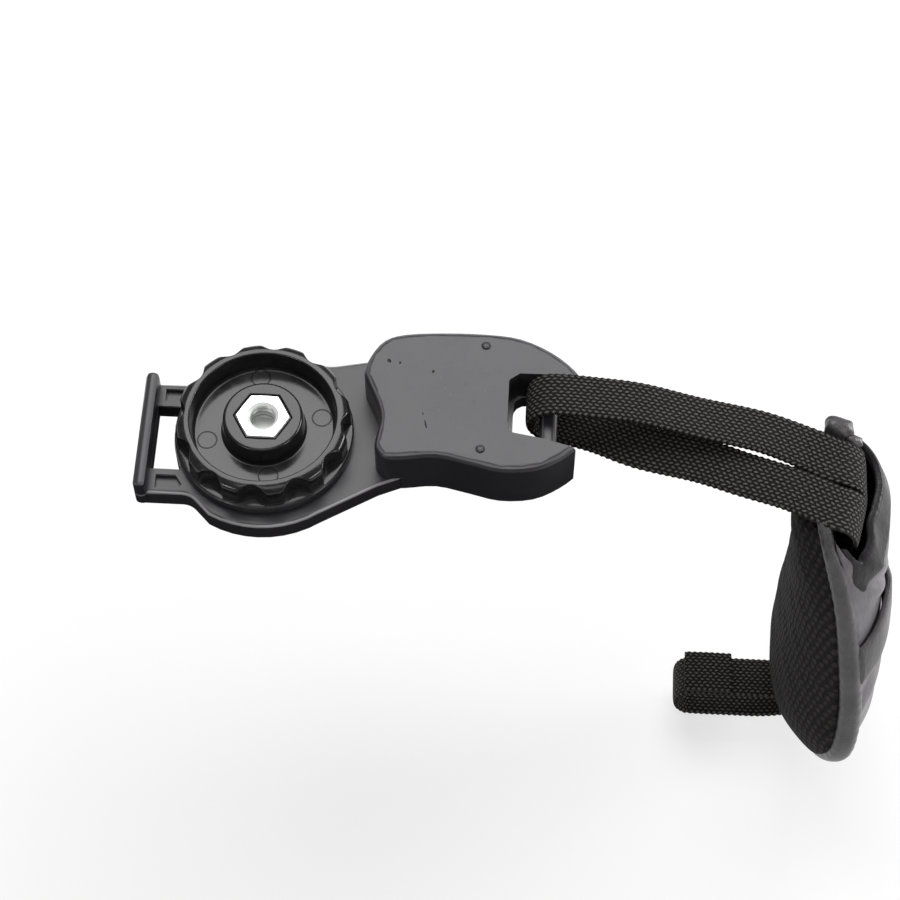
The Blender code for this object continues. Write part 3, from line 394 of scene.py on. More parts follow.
def webbing_cloth():
    """Dashes on a brick pattern: a row's number shifts it by half a step, and each dash is a bump
    with a squared cosine along and across it."""
    finish = Finish("black_webbing")
    along, across = finish.cloth_place()
    _, point = finish.place()
    wobble = finish.noise(point, 0.9, 2.0)
    fuzz = finish.noise(point, 7.0, 2.0)
    row = across / YARN_WIDTH
    lane = row.floor()
    offset = row.fract() - 0.5
    twist = (lane * 0.5).fract() * 4.0 - 1.0
    step = along / YARN_STEP + (lane * 0.5).fract() + offset * twist * 0.34 + (wobble - 0.5) * 0.5
    dash = 1 - ((step.fract() - 0.5) * 2.1).size() ** 1.8
    ridge = 1 - (offset * 2.0).size() ** 2.0
    bump = (dash.at_least(0.0) * ridge.at_least(0.0)) ** 0.8
    # Dash tops are painted paler and the grooves near black: a painted highlight on the yarns, with painted
    # shade between them.
    light = bump.rise(0.45, 0.98) * (fuzz * 2.2 - 0.2).at_least(0.15)
    colour = finish.blend(light, (0.007, 0.0062, 0.0062), (0.115, 0.104, 0.098))
    finish.set(Base_Color=colour, Roughness=0.68 + fuzz * 0.15, Specular_IOR_Level=0.22)
    finish.relief(bump + fuzz * 0.2, 0.42)
    return finish.material


webbing = webbing_cloth()
print("webbing weave:", YARN_STEP, "by", YARN_WIDTH, "mm")

# %% Ribbed mesh lining
RIB_STEP = 1.45
RIB_DASH = 2.2


def mesh_lining():
    """Ribs along the pad's height, cut into dashes that stand half a step apart in each next rib."""
    finish = Finish("ribbed_mesh_cloth")
    (x, y, z), point = finish.place()
    wobble = finish.noise(point, 0.25, 2.0)
    fuzz = finish.noise(point, 6.0, 2.0)
    row = y / RIB_STEP + (wobble - 0.5) * 0.8
    lane = row.floor()
    rib = 1 - ((row.fract() - 0.5) * 2.0).size() ** 2.0
    step = z / RIB_DASH + (lane * 0.5).fract()
    dash = 1 - ((step.fract() - 0.5) * 2.0).size() ** 3.0
    bump = rib * (0.45 + dash * 0.55)
    # Rib tops are painted paler and the hollows darker: a painted highlight on the ribs, with painted shade
    # between them.
    light = bump.rise(0.5, 1.0) * (0.5 + fuzz * 0.6)
    colour = finish.blend(light, (0.006, 0.0054, 0.0056), (0.036, 0.031, 0.030))
    finish.set(Base_Color=colour, Roughness=0.8 + fuzz * 0.1, Specular_IOR_Level=0.2)
    finish.relief(bump + fuzz * 0.15, 0.35)
    return finish.material


lining = mesh_lining()
print("lining ribs every", RIB_STEP, "mm")

# %% Leather
def leather_skin(name, colour, lighter, shine=0.5):
    """Soft leather: a fine pebble grain from cells, long soft creases from stretched noise, and a
    lighter tone where the skin is worn. The shine is the strength of its reflections."""
    finish = Finish(name)
    (x, y, z), point = finish.place()
    cells = finish.node("ShaderNodeTexVoronoi", {"feature": "F1"}, {"Vector": point, "Scale": 1.6})
    stretch = finish.node("ShaderNodeCombineXYZ", None, [x * 0.6, y * 0.5, z * 0.16])
    crease = finish.noise(stretch, 1.0, 4.0, 0.55)
    fine = finish.noise(point, 2.6, 3.0, 0.6)
    worn = finish.noise(point, 0.14, 3.0).rise(0.4, 0.7)
    tone = finish.blend(worn * 0.6 + fine * 0.25, colour, lighter)
    rough = 0.30 + fine * 0.12 - worn * 0.05
    finish.set(Base_Color=tone, Roughness=rough, Specular_IOR_Level=shine)
    finish.relief(cells * 0.3 + fine * 0.35 + crease * 2.0, 0.12)
    return finish.material


# The sleeve's copy is painted paler as painted light, and the copy on the fold round the mouth is painted
# darker as painted shade.
leather = leather_skin("black_leather", (0.050, 0.047, 0.050), (0.080, 0.075, 0.079))
sleeve_leather = leather_skin("sleeve_leather_painted_light", (0.105, 0.099, 0.105), (0.165, 0.157, 0.163))
hem_leather = leather_skin("mouth_fold_leather_painted_shade", (0.022, 0.020, 0.022), (0.038, 0.036, 0.038), 0.2)
print("leathers:", leather.name, sleeve_leather.name, hem_leather.name)


# %% [markdown]
# ## The rigid mouldings
#
# The solids of the plate, the block and the small metal parts are right as they are. Their meshes
# come in as loose triangles, so a Weld joins them, an Edge Split keeps the true corners hard, and
# weighted normals keep the large flat faces flat beside their rounded edges.

# %% Dress the solids
def dress(node, material, angle=32):
    """Smooths a solid's shading without moving a point, and gives it its material."""
    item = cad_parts[node]
    item.data.materials.clear()
    item.data.materials.append(material)
    item.data.polygons.foreach_set("use_smooth", np.ones(len(item.data.polygons), bool))
    weld = item.modifiers.new("joined_faces", "WELD")
    weld.merge_threshold = 0.002 * MM
    split = item.modifiers.new("hard_corners", "EDGE_SPLIT")
    split.split_angle = math.radians(angle)
    normals = item.modifiers.new("flat_faces", "WEIGHTED_NORMAL")
    normals.keep_sharp = True


DRESSED = {
    "base_plate": plate_plastic,
    "anchor_block": block_plastic,
    "rubber_ring": rubber,
    "rubber_foot": rubber,
    "knob_washer": nylon,
    "retaining_clip": dark_steel,
    "block_screw_1": dark_steel,
    "block_screw_2": dark_steel,
    "upper_slider": plate_plastic,
    "lower_slider": plate_plastic,
    "back_panel": leather,
}
for node, material in DRESSED.items():
    dress(node, material)
print("dressed", len(DRESSED), "solids")


# %% [markdown]
# ## Surfaces from arrays
#
# Every new piece is a grid of points: a function of two parameters, worked out for the whole grid
# at once. One helper turns the grid into a mesh, closing it round either way where the shape
# closes, and stores the cloth's own millimetres as a UV map where a weave follows the surface.

# %% The grid helper
def smooth_between(stations, places):
    """A cubic through (place, value) stations, whose slope at each is the average about it."""
    stations = np.array(stations, float)
    xs, ys = stations[:, 0], stations[:, 1]
    slopes = np.gradient(ys, xs)
    index = np.clip(np.searchsorted(xs, places) - 1, 0, len(xs) - 2)
    width = xs[index + 1] - xs[index]
    t = (places - xs[index]) / width
    return (
        ys[index] * (1 + 2 * t) * (1 - t) ** 2
        + ys[index + 1] * t**2 * (3 - 2 * t)
        + slopes[index] * width * t * (1 - t) ** 2
        + slopes[index + 1] * width * t**2 * (t - 1)
    )


def smooth_step(low, high, value):
    """0 below low, 1 above high and a smooth step between."""
    t = np.clip((value - low) / (high - low), 0, 1)
    return t * t * (3 - 2 * t)


def squared(wave, power):
    """A sine wave's values raised to a power with their signs kept, which squares a round section."""
    return np.sign(wave) * np.abs(wave) ** power


def grid_faces(rows, columns, close_rows, close_columns):
    """The four corners of each cell of a grid, as an array."""
    r = np.arange(rows if close_rows else rows - 1)[:, None]
    c = np.arange(columns if close_columns else columns - 1)[None, :]
    after_r, after_c = (r + 1) % rows, (c + 1) % columns
    corners = [r * columns + c, r * columns + after_c, after_r * columns + after_c, after_r * columns + c]
    return np.stack(np.broadcast_arrays(*corners), axis=-1).reshape(-1, 4)


def sheet_piece(
    name, points, material, nodes, close=(False, False), cloth=None, caps=False, smooth=60
):  # fmt: skip
    """A piece from a grid of points in millimetres, riding the base and standing for its solids."""
    rows, columns = points.shape[:2]
    faces = grid_faces(rows, columns, *close).tolist()
    if caps:
        faces.append(list(range(columns))[::-1])
        faces.append([(rows - 1) * columns + c for c in range(columns)])
    mesh = bpy.data.meshes.new(name)
    mesh.from_pydata(points.reshape(-1, 3) * MM, [], faces)
    if cloth is not None:
        corners = np.empty(len(mesh.loops), int)
        mesh.loops.foreach_get("vertex_index", corners)
        layer = mesh.uv_layers.new(name="cloth")
        layer.data.foreach_set("uv", cloth.reshape(-1, 2)[corners].astype(np.float32).ravel())
    mesh.materials.append(material)
    mesh.shade_smooth()
    mesh.set_sharp_from_angle(angle=math.radians(smooth))
    piece = bpy.data.objects.new(name, mesh)
    bpy.context.scene.collection.objects.link(piece)
    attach(piece, "base")
    if nodes:
        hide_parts(*nodes)
    print(name, len(mesh.polygons), "faces")
    return piece


def turn_outwards(piece):
    """Flips the faces if the closed piece's signed volume says that they point in."""
    mesh = piece.data
    mesh.calc_loop_triangles()
    points = np.empty(len(mesh.vertices) * 3)
    mesh.vertices.foreach_get("co", points)
    corners = np.empty(len(mesh.loop_triangles) * 3, int)
    mesh.loop_triangles.foreach_get("vertices", corners)
    a, b, c = points.reshape(-1, 3)[corners.reshape(-1, 3)].transpose(1, 0, 2)
    if np.einsum("ij,ij->i", a, np.cross(b, c)).sum() < 0:
        mesh.flip_normals()
    return piece


def closed_piece(name, points, material, nodes, cloth=None, caps=True):
    """A piece whose rows are rings, with its faces turned outwards."""
    return turn_outwards(sheet_piece(name, points, material, nodes, (False, True), cloth, caps))


print("grid helpers are ready")

# %% [markdown]
# ## The thumb knob
#
# The real knob is one moulding: a flange, a grip with scooped lobes above it, a deep cup and a boss
# in the middle with a hexagonal pocket. It is a profile carried round the axis. Round scoops are
# taken out of the grip, which leaves the lobes between them, and the boss's inner edge is not a
# circle but a hexagon, which gives the pocket.

# %% The knob
KNOB_LOBES = 12
LOBE_PHASE = math.radians(27.5)
SCOOP_R, SCOOP_DEPTH, SCOOP_HALF = 16.45, 1.9, math.radians(9.8)
FLANGE_R, FLANGE_TOP = 18.8, 7.5
KNOB_BOTTOM, RIM_TOP, CUP_FLOOR, BOSS_TOP = 5.3, 13.5, 8.0, 13.4
BOSS_R, HEX_FLATS, POCKET_R = 8.3, 10.2, 5.1
GRIP_INNER_R, SCOOP_SOFTNESS = 15.6, 0.12
RING_STEP, RING_HEIGHT = 0.55, 0.03


def rounded_profile(corners, steps=6):
    """A (radius, height) line through corners, each cut by an arc-like curve of its own reach:
    a quadratic curve from one side of the corner to the other."""
    line = []
    corners = [np.array(c, float) for c in corners]
    for index, corner in enumerate(corners):
        here, reach = corner[:2], corner[2]
        if reach == 0 or index in (0, len(corners) - 1):
            line.append(here)
            continue
        back = corners[index - 1][:2] - here
        ahead = corners[index + 1][:2] - here
        start = here + back / np.linalg.norm(back) * reach
        end = here + ahead / np.linalg.norm(ahead) * reach
        t = np.linspace(0, 1, steps + 1)[:, None]
        line.extend(start * (1 - t) ** 2 + 2 * here * t * (1 - t) + end * t**2)
    return np.array(line)


def resample(line, step):
    """The same line with a point about every so many millimetres, its own points kept."""
    parts = []
    for a, b in zip(line, line[1:]):
        count = max(1, int(np.ceil(np.linalg.norm(b - a) / step)))
        parts.append(a + (b - a) * np.linspace(0, 1, count, endpoint=False)[:, None])
    return np.vstack(parts + [line[-1:]])


def hexagon(angle, flats):
    """The radius of a hexagon with a corner towards +X, at an angle: half its width over flats
    divided by the cosine of the angle from the nearest side's middle."""
    sector = np.pi / 3
    from_side = np.mod(angle, sector) - sector / 2
    return flats / 2 / np.cos(from_side)


def knob_points():
    """Radius and height along the profile, times angle round the axis. Above the flange the radius
    is the softer minimum of the profile's and of the scoops', which is least at each scoop's middle
    and grows with the square of the angle from it."""
    outside = [
        (9.0, KNOB_BOTTOM, 0), (FLANGE_R, KNOB_BOTTOM, 0.5), (FLANGE_R, FLANGE_TOP, 0.6),
        (18.32, FLANGE_TOP + 0.05, 0.15), (18.3, 13.05, 1.7), (16.3, RIM_TOP, 0.25),
        (15.35, RIM_TOP, 0.4), (14.75, CUP_FLOOR, 0.5), (8.8, CUP_FLOOR, 0.35), (BOSS_R, BOSS_TOP, 0.8),
        (5.4, BOSS_TOP - 0.05, 0.15), (POCKET_R, BOSS_TOP - 0.5, 0.0), (POCKET_R, 9.0, 0.0),
    ]  # fmt: skip
    line = resample(rounded_profile(outside), 0.28)
    angle = np.linspace(0, 2 * np.pi, 432, endpoint=False)
    radius = np.repeat(line[:, :1], len(angle), axis=1)
    height = np.repeat(line[:, 1:2], len(angle), axis=1)
    turn = np.repeat(angle[None, :], len(line), axis=0)

    pitch = 2 * np.pi / KNOB_LOBES
    from_scoop = np.abs(np.mod(turn - LOBE_PHASE + pitch / 2, pitch) - pitch / 2)
    cut = SCOOP_R + SCOOP_DEPTH * (from_scoop / SCOOP_HALF) ** 2
    on_grip = (radius > GRIP_INNER_R) & (height > FLANGE_TOP + 0.06)
    soft = -SCOOP_SOFTNESS * np.log(np.exp(-radius / SCOOP_SOFTNESS) + np.exp(-cut / SCOOP_SOFTNESS))
    radius = np.where(on_grip, soft, radius)

    rings = smooth_step(6.0, 6.2, radius) * (1 - smooth_step(7.3, 7.5, radius)) * (height > 13.0)
    height = height + RING_HEIGHT * np.sin(radius * 2 * np.pi / RING_STEP) * rings
    inner = 1 - smooth_step(POCKET_R, 7.0, radius)
    radius = radius + (hexagon(turn, HEX_FLATS + 0.2) - POCKET_R) * inner
    return np.stack([radius * np.cos(turn), radius * np.sin(turn), height], axis=-1)


knob = sheet_piece(
    "thumb_knob", knob_points(), gloss_plastic, ["knob"], (False, True), smooth=50
)
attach(knob, "knob")

# %% [markdown]
# ## The camera screw
#
# The bright screw has a hexagonal head with a chamfer, and the head holds a threaded socket. Both
# threads are the same formula: the radius goes in and out with the height, less the angle, so that
# each turn climbs by one pitch of a twentieth of an inch.

# %% The screw
PITCH = 25.4 / 20
THREAD_DEPTH, SOCKET_WALL_R, STUD_R = 0.6, 2.65, 3.1
SOCKET_BOTTOM, STUD_TIP = 8.5, -5.0


def screw_points():
    """A profile from the socket's floor up its wall, over the head and down the stud. A thread
    takes a triangle wave of (height / pitch - angle / turn) off the radius, inwards on the stud
    and outwards in the socket."""
    line = np.array(
        [
            (0.02, SOCKET_BOTTOM), (2.6, SOCKET_BOTTOM), (SOCKET_WALL_R, SOCKET_BOTTOM + 0.1),
            (SOCKET_WALL_R, BOSS_TOP - 0.35), (3.35, BOSS_TOP + 0.12), (4.75, BOSS_TOP + 0.15),
            (5.0, BOSS_TOP - 0.1), (5.0, 7.5), (STUD_R, 7.5), (STUD_R, STUD_TIP + 0.8),
            (2.4, STUD_TIP), (0.02, STUD_TIP),
        ]
    )  # fmt: skip
    line = resample(line, 0.09)
    angle = np.linspace(0, 2 * np.pi, 144, endpoint=False)
    radius = np.repeat(line[:, :1], len(angle), axis=1)
    height = np.repeat(line[:, 1:2], len(angle), axis=1)
    turn = np.repeat(angle[None, :], len(line), axis=0)

    phase = np.mod(height / PITCH - turn / (2 * np.pi), 1.0)
    tooth = 2 * np.abs(phase - 0.5)
    in_socket = (height > SOCKET_BOTTOM + 0.2) & (height < BOSS_TOP - 0.3)
    in_socket = in_socket & (np.abs(radius - SOCKET_WALL_R) < 0.02)
    on_stud = (np.abs(radius - STUD_R) < 0.02) & (height < 7.0)
    radius = radius + THREAD_DEPTH * tooth * in_socket - THREAD_DEPTH * tooth * on_stud
    on_head = smooth_step(4.0, 4.9, radius) * (height > 7.4)
    radius = radius * (1 - on_head) + hexagon(turn, HEX_FLATS) * (radius / 5.0) * on_head
    return np.stack([radius * np.cos(turn), radius * np.sin(turn), height], axis=-1)


screw = sheet_piece(
    "threaded_screw", screw_points(), zinc, ["tripod_screw"], (False, True), smooth=40
)
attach(screw, "knob")

# %% [markdown]
# ## Webbing
#
# A strap is a rounded strip carried along a smooth path. Its two edges bulge and dip by a
# fraction of a millimetre with each yarn, which gives the outline of real webbing, and the woven
# face itself is relief in the material. The route is the one that the photograph shows: out of the
# sleeve, over the pad's top edge, round the bar in the block's notch and back.

# %% Paths and strips
WEB_WIDTH, WEB_THICK = 10.0, 1.5


def smooth_path(points, step):
    """A Catmull-Rom curve through the points, then a point about every so many millimetres."""
    points = np.array(points, float)
    ends = [2 * points[:1] - points[1:2], points, 2 * points[-1:] - points[-2:-1]]
    a, b, c, d = (np.vstack(ends)[i : i + len(points) - 1] for i in range(4))
    t = np.linspace(0, 1, 24, endpoint=False)[None, :, None]
    a, b, c, d = (p[:, None, :] for p in (a, b, c, d))
    fine = 0.5 * (
        2 * b + (c - a) * t + (2 * a - 5 * b + 4 * c - d) * t**2 + (3 * b - a - 3 * c + d) * t**3
    )
    fine = np.vstack([fine.reshape(-1, points.shape[1]), points[-1:]])
    length = np.concatenate([[0], np.cumsum(np.linalg.norm(np.diff(fine[:, :3], axis=0), axis=1))])
    places = np.linspace(0, length[-1], int(length[-1] / step) + 1)
    return np.stack([np.interp(places, length, column) for column in fine.T], axis=-1), places


def strip_points(path, places, width, thick, lean):
    """Carries a rounded strip along a path. The section is an ellipse whose ends are squared by a
    power; the half width also waves by one yarn step, and the strip leans about its path."""
    ahead = np.gradient(path, axis=0)
    ahead /= np.linalg.norm(ahead, axis=1)[:, None]
    across = np.array([0.0, 1.0, 0.0]) - ahead * ahead[:, 1:2]
    across /= np.linalg.norm(across, axis=1)[:, None]
    up = np.cross(ahead, across)
    turn = np.radians(lean)[:, None]
    across, up = across * np.cos(turn) + up * np.sin(turn), up * np.cos(turn) - across * np.sin(turn)

    angle = np.linspace(0, 2 * np.pi, 40, endpoint=False)
    side, rise = squared(np.cos(angle), 0.42), squared(np.sin(angle), 0.62)
    edge_wave = 0.13 * np.sin(2 * np.pi * places[:, None] / YARN_STEP + np.pi * (side > 0)[None, :])
    half = width / 2 - 0.12 + edge_wave * np.abs(side)[None, :] ** 6
    offset_side = half * side[None, :]
    offset_rise = (thick / 2 * rise)[None, :] * (1 + 0.1 * np.abs(side)[None, :] ** 4)
    points = path[:, None, :] + across[:, None, :] * offset_side[..., None]
    points = points + up[:, None, :] * offset_rise[..., None]
    cloth = np.stack(np.broadcast_arrays(places[:, None], offset_side + width / 2), axis=-1)
    return points, cloth


def webbing_piece(name, route, node, step=0.3):
    """The route's rows are x, y, z and, where the strap leans, the lean in degrees."""
    path, places = smooth_path([(*row, 0.0)[:4] for row in route], step)
    points, cloth = strip_points(path[:, :3], places, WEB_WIDTH, WEB_THICK, path[:, 3])
    closed_piece(name, points, webbing, [node], cloth)
    print(name, "runs", round(places[-1]), "mm")


def slider_turn(node, upwards):
    """The way round a slider's middle bar, from its outer side to its inner side."""
    low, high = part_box(node)
    middle = (low + high) / 2 / MM
    radius, away = 2.72, 1.0 if upwards else -1.0
    sides = [(radius, radius + 3.0), (radius, 1.2)]
    bend = [(radius * math.cos(a), -radius * math.sin(a)) for a in np.linspace(0.3, math.pi - 0.3, 6)]
    steps = sides + bend + [(-x, z) for x, z in reversed(sides)]
    return [(middle.x + x, middle.y, middle.z + away * z) for x, z in steps]


# %% The upper strap
BAR_X, BAR_Z, BAR_LOOP_R = 60.7, 9.6, 5.3
upper_route = [
    (125.8, -4.6, -26.0), (126.0, -6.2, -16.0), (126.2, -8.8, -6.5, -10.0), (125.5, -10.2, -0.9, -14.0),
    (123.3, -10.5, 2.6, -14.0), (119.6, -10.1, 4.1, -9.0), (110.5, -6.8, 4.9, -8.0),
    (101.0, -4.1, 5.2, -10.0), (91.7, -1.2, 5.3, -13.0), (79.6, 1.4, 5.3, -13.0), (70.0, 5.0, 4.7, -5.0),
    (BAR_X, 7.5, BAR_Z - BAR_LOOP_R),
]  # fmt: skip
for degrees in (225, 180, 135, 90):
    turn = math.radians(degrees)
    upper_route.append((BAR_X + BAR_LOOP_R * math.cos(turn), 7.6, BAR_Z + BAR_LOOP_R * math.sin(turn)))
upper_route += [
    (70.0, 7.5, 14.3), (79.0, 7.3, 13.1), (91.0, 6.1, 10.5), (104.0, 4.9, 8.0, 3.0), (113.5, 2.5, 6.3, 7.0),
    (119.2, 0.5, 5.5, 9.0), (122.9, -0.3, 4.6, 7.0), (125.6, -0.5, 2.2, 3.0), (126.9, -0.9, -2.6),
    (127.4, -1.6, -9.0), (128.0, -3.2, -20.0),
]  # fmt: skip
upper_route += slider_turn("upper_slider", upwards=True)
webbing_piece("woven_upper_strap", upper_route, "upper_webbing")

# %% The lower strap and its folded end
low, high = (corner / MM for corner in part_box("lower_webbing"))
LOWER_TOP, LOWER_BOTTOM = -87.6, low.z + WEB_THICK / 2
LOWER_Y = (low.y + high.y) / 2
LOOP_R = (LOWER_TOP - LOWER_BOTTOM) / 2
loop_x, loop_z = low.x + WEB_THICK / 2 + LOOP_R * 0.7, (LOWER_TOP + LOWER_BOTTOM) / 2
lower_route = [
    (124.9, LOWER_Y, -77.0), (124.9, LOWER_Y, -83.0), (124.0, LOWER_Y, -86.2), (121.3, LOWER_Y, -87.4),
    (115.0, LOWER_Y, LOWER_TOP), (107.0, LOWER_Y, LOWER_TOP),
]  # fmt: skip
for degrees in range(90, 271, 30):
    turn = math.radians(degrees)
    lower_route.append((loop_x + LOOP_R * 0.7 * math.cos(turn), LOWER_Y, loop_z + LOOP_R * math.sin(turn)))
lower_route += [
    (107.0, LOWER_Y, LOWER_BOTTOM), (115.0, LOWER_Y, LOWER_BOTTOM + 0.2),
    (121.0, LOWER_Y, LOWER_BOTTOM + 2.2), (126.3, LOWER_Y, LOWER_BOTTOM + 7.4),
    (128.1, LOWER_Y, LOWER_BOTTOM + 14.0), (129.3, LOWER_Y, -78.5),
]  # fmt: skip
lower_route += slider_turn("lower_slider", upwards=False)
webbing_piece("woven_lower_strap", lower_route, "lower_webbing")

fold_low, fold_high = (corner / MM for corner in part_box("webbing_end_fold"))
fold_z = (fold_low.z + fold_high.z) / 2
fold_route = [
    (fold_low.x + 0.2, LOWER_Y, fold_z), (101.0, LOWER_Y, fold_z + 0.15),
    (fold_high.x - 0.2, LOWER_Y, fold_z),
]  # fmt: skip
path, places = smooth_path(fold_route, 0.3)
points, cloth = strip_points(path, places, WEB_WIDTH + 0.4, fold_high.z - fold_low.z, np.zeros(len(path)))
closed_piece("folded_strap_end", points, webbing, ["webbing_end_fold"], cloth)

# %% [markdown]
# ## The pad
#
# The pad is a shield of foam between a mesh lining and a leather panel, narrow at its ends and
# widest near the bottom. All its pieces share one map: v runs down the pad, u runs across it, and
# small tables of stations give the width, the place of the edge, the bulge towards the hand and
# the rise of the sleeve. A point's X then follows from u and v alone, so the layers fit.

# %% The pad's own map
PAD_TOP, PAD_LENGTH = 1.0, 86.0
HALF_WIDTHS = [
    (-0.1, 11.5), (0.0, 12.6), (0.3, 20.8), (0.6, 29.0), (0.74, 30.5), (0.88, 24.0), (1.0, 12.2),
]  # fmt: skip
EDGE_X = [
    (-0.1, 114.5), (0.0, 116.5), (0.17, 120.5), (0.36, 123.5), (0.73, 125.5), (0.88, 123.2), (1.0, 120.5),
]  # fmt: skip
BULGES = [(0.0, 5.0), (0.13, 7.3), (0.3, 8.5), (0.45, 9.9), (0.71, 11.1), (0.9, 7.8), (1.0, 3.5)]
RISES = [
    (-0.1, 11.6), (0.0, 11.3), (0.12, 10.2), (0.22, 8.9), (0.38, 7.6), (0.5, 7.6), (0.75, 7.0), (1.0, 5.2),
]  # fmt: skip


def pad_half(v):
    return smooth_between(HALF_WIDTHS, v)


def pad_middle(v):
    return -2.6 - 4.8 * v


def pad_place(x, u, v):
    """Points of the pad from their X and their place on its map, each an array or a number."""
    parts = np.broadcast_arrays(x, pad_middle(v) + u * pad_half(v), PAD_TOP - v * PAD_LENGTH)
    return np.stack(parts, axis=-1)


def pad_seam(v):
    """The X of the line where the leather sleeve is sewn to the panel."""
    return smooth_between(EDGE_X, v) + 3.3


# %% The cushion
def cushion_points():
    """A closed section at each v: the hand's side bulges by 1 - |u|^2.6 from the edge's X, the
    back is nearly flat, and both meet in a half circle at the edges."""
    v = np.linspace(0.004, 0.996, 150)[:, None]
    turn = np.linspace(0, 2 * np.pi, 120, endpoint=False)[None, :]
    u = -np.cos(turn) * 0.985
    front = turn < np.pi
    full = 1 - np.abs(u) ** 2.6
    ends = smooth_step(0.0, 0.03, v) * smooth_step(0.0, 0.03, 1 - v)
    bulge = smooth_between(BULGES, v) * (0.55 + 0.45 * ends)
    x_front = smooth_between(EDGE_X, v) + 0.6 - bulge * full
    x_back = smooth_between(EDGE_X, v) + 1.0 - 0.35 * bulge * full
    side = 0.5 * np.sin(turn)
    x = np.where(front, x_front - side, x_back - side)
    ripple = 0.16 * np.sin(v * 61 + u * 9) * np.sin(v * 23 - u * 5) * full
    return pad_place(x - ripple * front, u, v)


cushion = closed_piece("pad_cushion", cushion_points(), lining, ["pad_liner", "pad_foam"])

# %% [markdown]
# ## The sleeve
#
# The outer leather is a sheet that arches from one seam to the other. Its upper rim is not level:
# it is high at the far corner and dips to a point at the near binding, which opens the mouth where
# the webbing goes in. Soft folds run from the mouth and from the cross band. A Solidify gives the
# sheet its thickness.

# %% The sleeve cover
COVER_THICK = 1.1
RIM_HEIGHTS = [
    (-1.0, -1.0), (-0.96, -5.4), (-0.91, -8.6), (-0.8, -8.0), (-0.66, -6.9), (-0.45, -4.9), (-0.2, -4.1),
    (0.1, -3.4), (0.5, -2.0), (0.8, 1.4), (1.0, 4.0),
]  # fmt: skip
RIM_LEANS = [
    (-1.0, 0.0), (-0.82, 0.6), (-0.66, 1.7), (-0.45, 3.4), (-0.2, 2.9), (0.1, 1.9), (0.5, 1.5), (0.8, 0.6),
    (1.0, 0.0),
]  # fmt: skip
LEAN_REACH = 10.0 / PAD_LENGTH
BAND_Z = (-25.5, -37.5)
BAND_TOP, BAND_BOTTOM = ((PAD_TOP - z) / PAD_LENGTH for z in BAND_Z)
# Each fold is its place in u and v, slope, width, depth (a furrow where negative) and reach.
FOLDS = [
    (-0.7, 0.16, 0.22, 0.018, 0.55, 0.5), (-0.75, 0.2, 0.2, 0.016, -0.5, 0.45),
    (-0.6, 0.26, 0.16, 0.02, 0.5, 0.5), (-0.8, 0.52, -0.2, 0.022, -0.6, 0.4),
    (-0.8, 0.58, -0.12, 0.03, 0.5, 0.5), (0.5, 0.62, 0.15, 0.03, 0.5, 0.6),
    (-0.3, 0.72, 0.1, 0.035, 0.5, 0.7), (0.2, 0.8, -0.1, 0.03, -0.4, 0.6),
]  # fmt: skip


def rim_v(u):
    return (PAD_TOP - smooth_between(RIM_HEIGHTS, u)) / PAD_LENGTH


def fold(u, v, at_u, at_v, slope, width, depth, reach):
    """A soft fold: a ridge along a slanted line through a point, fading along its length."""
    off_line = (v - at_v) - slope * (u - at_u)
    along = np.abs(u - at_u) / reach
    return depth * np.exp(-((off_line / width) ** 2)) * np.exp(-(along**2))


def cover_x(u, v):
    """Seam plus rise times 1 - |u|^3.4, leaning in at the rim, pinched under the band, with a few
    folds."""
    arch = 1 - np.abs(u) ** 3.4
    x = pad_seam(v) + smooth_between(RISES, v) * arch
    x = x - smooth_between(RIM_LEANS, u) * smooth_step(LEAN_REACH, 0.0, v - rim_v(u))
    pinch = smooth_step(BAND_TOP - 0.05, BAND_TOP, v) * (1 - smooth_step(BAND_BOTTOM, BAND_BOTTOM + 0.06, v))
    x = x - 0.5 * pinch * arch
    for numbers in FOLDS:
        x = x + fold(u, v, *numbers)
    return x


def cover_points():
    """u across, and t down from the slanted rim to the bottom."""
    u = np.linspace(-1, 1, 110)[None, :]
    t = np.linspace(0, 1, 150)[:, None] ** 1.15
    start = rim_v(u)
    v = start + (0.985 - start) * t
    squeeze = 1 - 0.22 * smooth_step(0.02, -0.06, v) * (u > 0)
    return pad_place(cover_x(u, v), u * squeeze, v)


cover = sheet_piece("leather_sleeve", cover_points(), sleeve_leather, ["sleeve_cover"])
wall = cover.modifiers.new("leather_thickness", "SOLIDIFY")
wall.thickness, wall.offset = COVER_THICK * MM, 0.0

# %% The rim's fold, the lower hem and the cross band
def band_points(start_v, end_v, lift, thick, u_reach=0.97, bulge=0.25):
    """A closed flat section carried across the cover: u goes from edge to edge, and the section
    runs down the outside and back up the inside."""
    u = np.linspace(-u_reach, u_reach, 130)[:, None]
    turn = np.linspace(0, 2 * np.pi, 36, endpoint=False)[None, :]
    side, rise = squared(np.cos(turn), 0.35), squared(np.sin(turn), 0.6)
    first, last = start_v(u), end_v(u)
    v = (first + last) / 2 + (last - first) / 2 * side
    x = cover_x(u, v) + (lift(u) if callable(lift) else lift)
    x = x + thick / 2 * rise + bulge * (rise > 0) * (1 - side**2)
    return pad_place(x, u, v)


HEM_V = 7.0 / PAD_LENGTH
HEM_OVERLAP = 0.012
hem_points = band_points(lambda u: rim_v(u) - HEM_OVERLAP, lambda u: rim_v(u) + HEM_V, 0.4, 2.1)
closed_piece("mouth_hem", hem_points, hem_leather, ["upper_hem"])
hem_points = band_points(lambda u: 0.94, lambda u: 0.985, 0.85, 0.8, 0.9)
closed_piece("bottom_hem", hem_points, leather, ["lower_hem"])


def band_top(u):
    return BAND_TOP + 0.05 * smooth_step(-0.2, -1.0, u)


def band_bottom(u):
    return BAND_BOTTOM + 0.02 * smooth_step(-0.2, -1.0, u)


